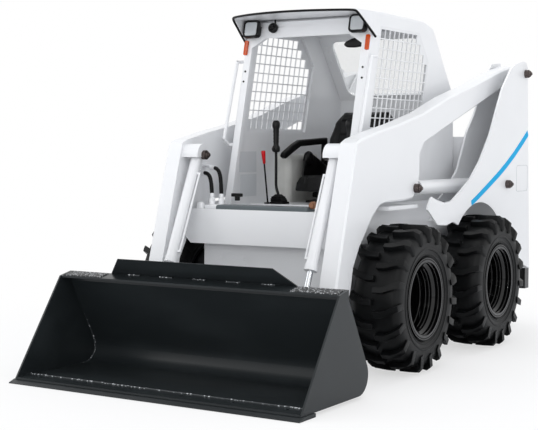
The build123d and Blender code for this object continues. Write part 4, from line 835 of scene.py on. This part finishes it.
class LOADER_OT_seat(bpy.types.Operator):
    """Pads the seat's cushion and backrest as sewn vinyl covers over foam"""

    bl_idname = "loader.seat"
    bl_label = "Padded seat"

    def execute(self, context):
        settings = context.scene.loader_seat
        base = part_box("seat")[0][2]
        cushion = face_through([
            at(-0.215, 0.835, base), at(0.215, 0.835, base), at(0.232, 0.62, base), at(0.240, 0.44, base),
            at(0.222, 0.386, base), at(0.12, 0.362, base), at(-0.12, 0.362, base), at(-0.222, 0.386, base),
            at(-0.240, 0.44, base), at(-0.232, 0.62, base),
        ])
        crowned(Vector((0, 0, 1)), 0.055, 0.034, at(0, 0.615, base + 0.089), 0.075)
        cushion = stuffed(cushion, base + 0.006, settings)
        sewn(cushion, seams_of(
            0.150, (0.475, 0.565, 0.655, 0.745), lambda p: p.y - FRONT_AXLE, lambda p: p.z > base + 0.05))
        done(cushion, "seat_cushion", "seat_vinyl", "chassis", 60.0)
        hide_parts("seat")

        foot = at(0, 0.808, 1.000)
        lean = Vector((0.0, 0.117, 0.455)).normalized()
        front = Vector((0.0, -lean.z, lean.y))

        def back_at(x, up, out):
            """A place so far to the left, up the backrest and out of it."""
            return foot + Vector((x, 0, 0)) + lean * up + front * out

        outline = (
            (-0.212, 0.030), (0.212, 0.030), (0.232, 0.150), (0.232, 0.275), (0.200, 0.380), (0.146, 0.452),
            (-0.146, 0.452), (-0.200, 0.380), (-0.232, 0.275), (-0.232, 0.150),
        )
        back = face_through([back_at(x, up, 0.012) for x, up in outline])
        crowned(front, 0.050, 0.022, back_at(0, 0.24, 0.084), 0.065)
        back = stuffed(back, -1.0, settings)
        sewn(back, seams_of(
            0.145, (0.110, 0.200, 0.290, 0.380), lambda p: (p - foot).dot(lean),
            lambda p: (p - foot).dot(front) > 0.045))
        done(back, "seat_backrest", "seat_vinyl", "chassis", 60.0)
        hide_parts("seat")
        shell = plate([back_at(x * 1.03, up + 0.004, -0.004) for x, up in outline], front * 0.020, 0.006)
        done(shell, "seat_shell", "black_plastic", "chassis")
        return {"FINISHED"}


class LOADER_OT_controls(bpy.types.Operator):
    """Models the two control levers with their boots and grips, and the brake lever with its knob"""

    bl_idname = "loader.controls"
    bl_label = "Levers"

    def execute(self, context):
        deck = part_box("seat_deck")[1][2]
        up = (0, 0, 1)
        for name, side in SIDES:
            foot = at(side * 0.225, 0.210, deck)
            boot = face_through([foot + Vector((x, y, 0)) for x, y in (
                (-0.045, -0.040), (-0.038, -0.047), (0.038, -0.047), (0.045, -0.040),
                (0.045, 0.040), (0.038, 0.047), (-0.038, 0.047), (-0.045, 0.040))])
            for rise, grow in (
                (0.012, 1.0), (0.001, 0.84), (0.006, 1.0), (0.004, 1.06), (0.004, 0.88), (0.005, 1.05),
                (0.004, 0.86), (0.006, 1.04), (0.005, 0.74), (0.010, 0.60),
            ):
                slant = side * 0.3 * rise
                push((slant, 0, rise))
                middle = foot + Vector((slant, 0, 0))
                bpy.ops.transform.resize(value=(grow, grow, 1.0), center_override=tuple(middle))
            done(boot, f"lever_boot_{name}", "black_rubber", "chassis", 20.0)
            shaft = tube([
                foot + Vector((side * x, 0.0, z)) for x, z in (
                    (0.004, 0.030), (0.010, 0.060), (0.024, 0.095), (0.026, 0.130), (0.025, 0.200),
                    (0.025, 0.330))
            ], 0.0085, 3)
            line = foot + Vector((side * 0.025, 0, 0))  # foot of the line that the grip stands on
            grip = turned(line, up, (
                (0.308, 0.014), (0.314, 0.022), (0.322, 0.024), (0.340, 0.023), (0.350, 0.0165),
                (0.362, 0.0155), (0.372, 0.0175), (0.380, 0.0160), (0.390, 0.0178), (0.400, 0.0162),
                (0.410, 0.0180), (0.420, 0.0164), (0.430, 0.0182), (0.442, 0.0170), (0.452, 0.0200),
                (0.466, 0.0235), (0.482, 0.0235), (0.492, 0.0190), (0.498, 0.0110),
            ), 24)
            trigger = block(
                line + Vector((-0.007, -0.040, 0.318)), line + Vector((0.007, -0.018, 0.336)), 0.003)
            stick = joined([shaft, grip, trigger])
            done(stick, f"control_stick_{name}", "black_plastic", "chassis", 50.0)
            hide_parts(f"control_lever_{name}")
        low, high = at(-0.285, 0.172, deck), at(-0.285, 0.120, 1.203)
        length = (high - low).length
        shaft = turned(low, high - low, ((0.0, 0.009), (0.010, 0.009), (0.014, 0.005), (0.250, 0.005)), 12)
        foot = block(low + Vector((-0.014, -0.020, -0.001)), low + Vector((0.014, 0.020, 0.010)), 0.003)
        rod = done(joined([shaft, foot]), "brake_rod", "black_plastic", "chassis")
        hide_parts("brake_lever")
        knob = turned(low, high - low, [(length - down, radius) for down, radius in (
            (0.078, 0.0062), (0.074, 0.0085), (0.020, 0.0122), (0.006, 0.0128), (0.001, 0.0108),
            (0.0, 0.0070),
        )], 24)
        knob = done(knob, "brake_knob", "red_knob", "chassis", 45.0)
        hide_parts("brake_lever")
        return {"FINISHED"}


# outline of an armrest seen from its side: distance behind the front axle, and height
ARM_REST = (
    (0.845, 1.285), (0.500, 1.268), (0.440, 1.247), (0.318, 1.192), (0.303, 1.168), (0.330, 1.152),
    (0.452, 1.205), (0.512, 1.228), (0.812, 1.243), (0.800, 1.000), (0.745, 0.940), (0.700, 0.940),
    (0.700, 0.905), (0.780, 0.905), (0.845, 0.990),
)


class LOADER_OT_cab_inside(bpy.types.Operator):
    """Models the armrests, the seat's side brackets, the roof's painted shade, the mirror, the plates and
    the latch
    """

    bl_idname = "loader.cab_inside"
    bl_label = "Cab inside"

    def execute(self, context):
        for name, side in SIDES:
            rest = plate([at(side * 0.250, u, z) for u, z in ARM_REST], (side * 0.035, 0, 0), 0.009, 3)
            near, far = sorted((side * 0.120, side * 0.250))
            foot = block(at(near, 0.700, 0.905), at(far, 0.745, 0.940), 0.003)
            rest = done(joined([rest, foot]), f"arm_rest_{name}", "black_rubber", "chassis", 50.0)
            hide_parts("arm_rests")
            face = side * 0.247  # just inside the armrest's inner face
            disc = turned(at(face, 0.580, 1.150), (-side, 0, 0), (
                (-0.006, 0.044), (0.006, 0.050), (0.018, 0.046), (0.026, 0.030)), 28)
            cheek = plate([at(face, u, z) for u, z in (
                (0.500, 1.030), (0.840, 1.000), (0.840, 1.090), (0.640, 1.175), (0.560, 1.190),
                (0.520, 1.130))], (-side * 0.014, 0, 0), 0.006)
            done(joined([disc, cheek]), f"seat_side_bracket_{name}", "black_plastic", "chassis", 45.0)
        # painted shade: a pale grey sheet just under the white roof, where the roof is only in shade
        shade_panel = plate([at(x, u, 1.9420) for x, u in (
            (-0.385, 0.300), (0.385, 0.300), (0.385, 0.860), (-0.385, 0.860))], (0, 0, 0.016), 0.006, 3)
        done(shade_panel, "roof_shade_sheet", "grey_lining", "chassis")
        mirror = plate([at(x, 0.285, z) for x, z in (
            (0.310, 1.806), (0.310, 1.846), (0.285, 1.858), (0.235, 1.852), (0.195, 1.836), (0.180, 1.818),
            (0.198, 1.802), (0.250, 1.799))], (0, -0.034, 0), 0.010, 3)
        stalk = turned(at(0.295, 0.268, 1.850), (0, 0, 1), (
            (0.0, 0.006), (0.060, 0.006), (0.064, 0.010), (0.090, 0.010)), 16)
        done(joined([mirror, stalk]), "cab_mirror", "black_plastic", "chassis", 50.0)
        for name, low, high in (
            ("plate_upper", (0.030, 1.075), (0.215, 1.198)), ("plate_lower", (0.040, 0.930), (0.215, 1.062)),
        ):
            card = plate([at(-0.3945, u, z) for u, z in (
                low, (high[0], low[1]), high, (low[0], high[1]))], (0.0015, 0, 0), 0.0005, 1)
            done(card, name, "blank_plate", "chassis")
        latch = joined([
            block(at(-0.335, -0.150, 0.938), at(-0.265, -0.128, 0.958), 0.004),
            block(at(-0.312, -0.146, 0.915), at(-0.290, -0.120, 0.940), 0.003),
        ])
        done(latch, "cab_latch", "black_plastic", "chassis")
        return {"FINISHED"}


# ---- Arms, hydraulics and side frames ----
def pin_nut(spot, axis):
    """A cap over a pin's head, a flanged nut and the end of its bolt, from the head's face at the spot."""
    cap = turned(spot, axis, ((-0.0215, 0.0268), (0.0020, 0.0268), (0.0045, 0.0245), (0.0045, 0.0200)), 32)
    nut = turned(spot, axis, ((0.0040, 0.0205), (0.0070, 0.0205), (0.0140, 0.0200), (0.0165, 0.0170)), 6)
    end = turned(spot, axis, ((0.0150, 0.0105), (0.0220, 0.0105), (0.0240, 0.0085)), 18)
    return joined([cap, nut, end])


class LOADER_OT_hoses(bpy.types.Operator):
    """Models the two short hydraulic hoses at the right arm, their fittings and block, and a cap"""

    bl_idname = "loader.hoses"
    bl_label = "Hoses and fittings"

    def execute(self, context):
        routes = (
            ((-0.455, -0.255, 1.076), (-0.430, -0.262, 1.078), (-0.400, -0.270, 1.060),
             (-0.386, -0.275, 1.020), (-0.380, -0.280, 0.985), (-0.377, -0.280, 0.950)),
            ((-0.418, -0.205, 1.105), (-0.392, -0.212, 1.104), (-0.364, -0.220, 1.075),
             (-0.352, -0.226, 1.020), (-0.348, -0.230, 0.985), (-0.346, -0.232, 0.945)),
        )
        hose_radius, pipe_radius = 0.0115, 0.0095
        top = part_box("arm_cross_member")[1][2]
        up = (0, 0, 1)
        ends = []
        for i, route in enumerate(routes):
            points = [at(*p) for p in route]
            hose = tube(points, hose_radius, 3)
            done(hose, f"hydraulic_hose_{i + 1}", "black_rubber", "lift_arms", 60.0)
            for spot, way in ((points[0], points[0] - points[1]), (points[-1], points[-1] - points[-2])):
                way.normalize()
                ends.append(turned(spot - way * 0.012, way, (
                    (0.0, 0.0135), (0.020, 0.0135), (0.021, 0.0115), (0.030, 0.0115)), 20))
                ends.append(turned(spot + way * 0.014, way, (
                    (0.0, 0.0150), (0.003, 0.0165), (0.013, 0.0165)), 6))
        done(joined(ends), "hose_fittings", "white_paint", "lift_arms", 30.0)
        manifold = joined([
            block(at(-0.405, -0.318, top - 0.001), at(-0.320, -0.200, top + 0.022), 0.006),
            turned(at(-0.377, -0.280, top), up, ((0.0, 0.017), (0.050, 0.017), (0.060, 0.0145)), 20),
            turned(at(-0.346, -0.232, top), up, ((0.0, 0.017), (0.048, 0.017), (0.058, 0.0145)), 20),
            turned(at(-0.440, -0.300, top - 0.002), up, ((0.0, 0.028), (0.020, 0.026), (0.038, 0.014)), 24),
            tube([at(*p) for p in (
                (-0.514, -0.215, 1.090), (-0.490, -0.225, 1.085), (-0.475, -0.235, 1.078),
                (-0.460, -0.250, 1.074), (-0.450, -0.256, 1.076))], pipe_radius, 3),
            tube([at(*p) for p in (
                (-0.514, -0.170, 1.118), (-0.480, -0.175, 1.116), (-0.455, -0.185, 1.110),
                (-0.430, -0.200, 1.106), (-0.412, -0.207, 1.105))], pipe_radius, 3),
        ])
        done(manifold, "hose_manifold", "white_paint", "lift_arms")
        cap = turned(at(0.307, -0.330, 0.911), (0, 1, 0), (
            (-0.004, 0.014), (0.010, 0.014), (0.012, 0.020), (0.034, 0.020), (0.038, 0.017)), 24)
        done(cap, "coupling_cap", "brown_cap", "lift_arms", 30.0)
        return {"FINISHED"}


class LOADER_OT_pins(bpy.types.Operator):
    """Adds the caps and nuts on the loader's pins"""

    bl_idname = "loader.pins"
    bl_label = "Pin nuts"

    def execute(self, context):
        for name, side in SIDES:
            for what, u, z, body, node_name in (
                ("lift_arm_nut", 0.326, 0.990, "lift_arms", f"lift_arm_{name}"),
                ("lift_base_nut", 1.515, 0.984, "chassis", f"side_frame_outer_{name}"),
                ("pivot_nut", 1.835, 1.710, "chassis", f"side_frame_outer_{name}"),
            ):
                spot = face_met(node_name, at(side * 1.2, u, z), (-side, 0, 0))
                done(pin_nut(spot, (side, 0, 0)), f"{what}_{name}", "pin_nut", body, 30.0)
            nut = pin_nut(at(side * 0.3905, -0.318, 1.180), (-side, 0, 0))
            done(nut, f"tilt_pin_nut_{name}", "pin_nut", "lift_arms", 30.0)
        return {"FINISHED"}


# the middle line of the stripe: distance behind the front axle, height, and half its width
STRIPE = (
    (1.893, 1.318, 0.021), (1.800, 1.262, 0.021), (1.645, 1.176, 0.020), (1.500, 1.105, 0.0195),
    (1.384, 1.054, 0.019), (1.218, 0.988, 0.018), (1.100, 0.943, 0.0175), (1.025, 0.914, 0.017),
    (0.935, 0.883, 0.016),
)


class LOADER_OT_side_trim(bpy.types.Operator):
    """Adds the plain stripe and the joint round the access cover on each side"""

    bl_idname = "loader.side_trim"
    bl_label = "Stripe and covers"

    def execute(self, context):
        for name, side in SIDES:
            face = side * SIDE_FACE
            upper, lower = [], []
            for i, (u, z, half) in enumerate(STRIPE):
                before, after = STRIPE[max(i - 1, 0)], STRIPE[min(i + 1, len(STRIPE) - 1)]
                way = Vector((after[0] - before[0], after[1] - before[1])).normalized()
                upper.append(at(face, u + way.y * half, z - way.x * half))
                lower.append(at(face, u - way.y * half, z + way.x * half))
            stripe = plate(upper + lower[::-1], (side * 0.0006, 0, 0))
            done(stripe, f"stripe_{name}", "stripe_film", "chassis", 20.0)
            cover = [at(face, u, z) for u, z in rounded((1.712, 0.953), (1.868, 1.080), 0.022, 4)]
            line = tube(cover + cover[:1], 0.0011, 1)
            done(line, f"cover_joint_{name}", "joint_line", "chassis", 60.0)
        return {"FINISHED"}


# ---- Bucket ----
class LOADER_OT_bucket_trim(bpy.types.Operator):
    """Adds the bucket's weld beads, the grip strips on its lip and the stitches behind them"""

    bl_idname = "loader.bucket_trim"
    bl_label = "Bucket welds and strips"

    def execute(self, context):
        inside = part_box("bucket_side_l")[0][0]
        floor_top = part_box("bucket_floor")[1][2]
        edge_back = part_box("cutting_edge")[1][1]
        bead_radius = 0.0045
        beads = [tube([
            Vector((x, edge_back + 0.001, floor_top + 0.001)) for x in (-0.86, -0.5, -0.2, 0.2, 0.5, 0.86)
        ], bead_radius, 2)]
        for side in (1, -1):
            x = side * (inside - 0.002)
            beads.append(tube([at(x, u, z) for u, z in (
                (-1.262, 0.022), (-1.050, 0.022), (-0.850, 0.022), (-0.790, 0.034), (-0.752, 0.075),
                (-0.748, 0.130), (-0.775, 0.190), (-0.850, 0.330), (-0.925, 0.480), (-0.940, 0.515),
            )], bead_radius, 2))
        done(joined(beads), "bucket_weld_beads", "weld_bead", "bucket", 60.0)

        def on_lip(x, u):
            """A place on top of the bucket's back, met from above."""
            return face_met("bucket_back", at(x, u, 1.2), (0, 0, -1))

        strips = [
            plate([
                on_lip(x, u) - Vector((0, 0, 0.001)) for x, u in (
                    (low, -1.019), (high, -1.019), (high, -0.949), (low, -0.949))
            ], (0, 0, 0.005), 0.0012, 1) for low, high in ((0.590, 0.850), (-0.850, -0.590))
        ]
        done(joined(strips), "lip_grip_strips", "grip_strip", "bucket", 30.0)
        stitches = []
        for x in (-0.42, -0.21, 0.0, 0.21, 0.42):
            z = on_lip(x, -0.950).z + 0.001
            line = [at(x + along, -0.9455, z) for along in (-0.04, -0.02, 0.0, 0.02, 0.04)]
            stitches.append(tube(line, 0.005, 2))
        done(joined(stitches), "lip_weld_stitches", "weld_bead", "bucket", 60.0)
        return {"FINISHED"}


# ---- Rear ----
class LOADER_OT_rear_trim(bpy.types.Operator):
    """Adds the rear door's latch and the access plate on the front of the main frame"""

    bl_idname = "loader.rear_trim"
    bl_label = "Rear and front trim"

    def execute(self, context):
        face = face_met("rear_door", at(-0.395, 2.4, 0.600), (0, -1, 0)).y
        cup = turned(Vector((-0.420, face, 0.600)), (0, 1, 0), (
            (-0.002, 0.044), (0.004, 0.044), (0.007, 0.040), (0.007, 0.034), (0.002, 0.031)), 32)
        paddle = block((-0.440, face + 0.001, 0.586), (-0.392, face + 0.013, 0.614), 0.004)
        done(joined([cup, paddle]), "door_latch", "black_plastic", "door", 35.0)
        cover = plate([at(x, -0.2548, z) for x, z in (
            (-0.335, 0.440), (-0.165, 0.440), (-0.155, 0.450), (-0.155, 0.600), (-0.165, 0.610),
            (-0.335, 0.610), (-0.345, 0.600), (-0.345, 0.450))], (0, -0.0035, 0), 0.001, 1)
        bolts = [
            turned(at(x, -0.258, z), (0, -1, 0), ((0.0, 0.0085), (0.004, 0.0085), (0.005, 0.007)), 6)
            for x in (-0.325, -0.175) for z in (0.458, 0.592)
        ]
        done(joined([cover] + bolts), "front_access_plate", "white_paint", "chassis", 30.0)
        return {"FINISHED"}


# ---- Stage ----
CAMERA_PLACE = (3.652, -6.421, 1.231)
CAMERA_DOWN, CAMERA_ROUND = 3.194, 32.065  # degrees that it looks down, and turns from straight back


class LOADER_OT_stage(bpy.types.Operator):
    """Makes the floor, the soft lights, the white surroundings and the camera"""

    bl_idname = "loader.stage"
    bl_label = "Stage and camera"

    def execute(self, context):
        settings = context.scene.loader_stage
        scene = context.scene
        clear()
        bpy.ops.mesh.primitive_plane_add(size=80.0, location=(0, 0, -0.002))
        floor = context.active_object
        floor.name = "studio_floor"
        # pale paper that keeps the loader's shadow, and for the camera fades to white away from it
        made, tree, place = start_material("Pale_studio_floor")
        paper = node(
            tree, "ShaderNodeBsdfPrincipled", Base_Color=linear(settings.floor_colour), Roughness=0.9)
        path = node(tree, "ShaderNodeLightPath")
        glow = node(tree, "ShaderNodeEmission", Color=(1, 1, 1, 1), Strength=1.0)
        away = node(tree, "ShaderNodeVectorMath", {"operation": "LENGTH"}, i0=place)
        fade = node(
            tree, "ShaderNodeMapRange", {"interpolation_type": "SMOOTHSTEP"}, Value=(away, "Value"),
            From_Min=1.2, From_Max=3.6, To_Min=0.60, To_Max=1.0)
        seen = node(
            tree, "ShaderNodeMath", {"operation": "MULTIPLY"}, i0=(path, "Is Camera Ray"), i1=(fade, 0))
        mixed = node(tree, "ShaderNodeMixShader", i0=(seen, 0), i1=(paper, 0), i2=(glow, 0))
        node(tree, "ShaderNodeOutputMaterial", Surface=(mixed, 0))
        floor.data.materials.append(made)

        # soft light from all round, which the camera, gloss and glass see as white
        world = bpy.data.worlds.new("White_surroundings")
        scene.world = world
        world.use_nodes = True
        tree = world.node_tree
        tree.nodes.clear()
        path = node(tree, "ShaderNodeLightPath")
        plain = node(tree, "ShaderNodeBackground", Color=linear("#F2F4F7"), Strength=settings.surroundings)
        white = node(tree, "ShaderNodeBackground", Color=(1, 1, 1, 1), Strength=1.0)
        through = node(
            tree, "ShaderNodeMath", {"operation": "MAXIMUM"}, i0=(path, "Is Camera Ray"),
            i1=(path, "Is Transmission Ray"))
        rays = node(
            tree, "ShaderNodeMath", {"operation": "MAXIMUM"}, i0=(through, 0), i1=(path, "Is Glossy Ray"))
        mixed = node(tree, "ShaderNodeMixShader", i0=(rays, 0), i1=(plain, 0), i2=(white, 0))
        node(tree, "ShaderNodeOutputWorld", Surface=(mixed, 0))

        # name, place, aim, width and height, share of the key's power
        for name, place, aim, size, share in (
            ("key_softbox", (5.5, -6.0, 6.5), (0, 0, 0.8), (4.0, 4.0), 0.35),
            ("fill_softbox", (-6.5, -4.5, 3.5), (0, 0, 0.8), (4.5, 4.5), 0.35),
            ("front_softbox", (1.0, -8.0, 2.4), (0, 0, 0.9), (4.0, 3.0), 0.38),
            ("top_softbox", (0.0, 1.5, 7.5), (0, 0, 0.8), (5.0, 5.0), 0.6),
            ("side_strip", (6.0, -2.6, 1.6), (0.7, 0.2, 0.5), (0.22, 2.4), 0.10),
            ("rear_side_strip", (5.4, 2.4, 1.5), (0.7, 0.4, 0.5), (0.22, 2.2), 0.07),
        ):
            light = bpy.data.lights.new(name, "AREA")
            light.shape = "RECTANGLE"
            light.size, light.size_y = size
            light.energy = settings.key_power * share
            lamp = bpy.data.objects.new(name, light)
            scene.collection.objects.link(lamp)
            lamp.location = place
            lamp.rotation_euler = (Vector(aim) - Vector(place)).to_track_quat("-Z", "Y").to_euler()

        camera = bpy.data.cameras.new("view")
        camera.sensor_width = 36.0
        camera.lens = settings.focal_length
        camera.clip_end = 100.0
        eye = bpy.data.objects.new("view", camera)
        scene.collection.objects.link(eye)
        eye.location = CAMERA_PLACE
        eye.rotation_euler = (math.radians(90.0 - CAMERA_DOWN), 0.0, math.radians(CAMERA_ROUND))
        scene.camera = eye
        scene.view_settings.view_transform = "Standard"
        return {"FINISHED"}


class LOADER_PT_panel(bpy.types.Panel):
    """Lists the loader's operators"""

    bl_label = "Loader"
    bl_idname = "LOADER_PT_panel"
    bl_space_type = "VIEW_3D"
    bl_region_type = "UI"
    bl_category = "Loader"

    def draw(self, context):
        for made in OPERATORS:
            self.layout.operator(made.bl_idname)


OPERATORS = (
    LOADER_OT_finishes,
    LOADER_OT_stage,
    LOADER_OT_tyres,
    LOADER_OT_wheel_trim,
    LOADER_OT_visor_edge,
    LOADER_OT_lamps,
    LOADER_OT_seat,
    LOADER_OT_controls,
    LOADER_OT_cab_inside,
    LOADER_OT_hoses,
    LOADER_OT_pins,
    LOADER_OT_side_trim,
    LOADER_OT_bucket_trim,
    LOADER_OT_rear_trim,
)
GROUPS = (
    (LoaderStageSettings, "loader_stage"),
    (LoaderWheelSettings, "loader_wheels"),
    (LoaderSeatSettings, "loader_seat"),
)


def register():
    """Registers the settings, the operators and the panel."""
    for group, name in GROUPS:
        bpy.utils.register_class(group)
        setattr(bpy.types.Scene, name, bpy.props.PointerProperty(type=group))
    for made in OPERATORS + (LOADER_PT_panel,):
        bpy.utils.register_class(made)


def unregister():
    """Takes them out again."""
    for made in reversed(OPERATORS + (LOADER_PT_panel,)):
        bpy.utils.unregister_class(made)
    for group, name in reversed(GROUPS):
        delattr(bpy.types.Scene, name)
        bpy.utils.unregister_class(group)


def main():
    """Builds the whole scene."""
    register()
    for made in OPERATORS:
        getattr(bpy.ops.loader, made.bl_idname.split(".")[1])()


if __name__ == "__main__":
    main()
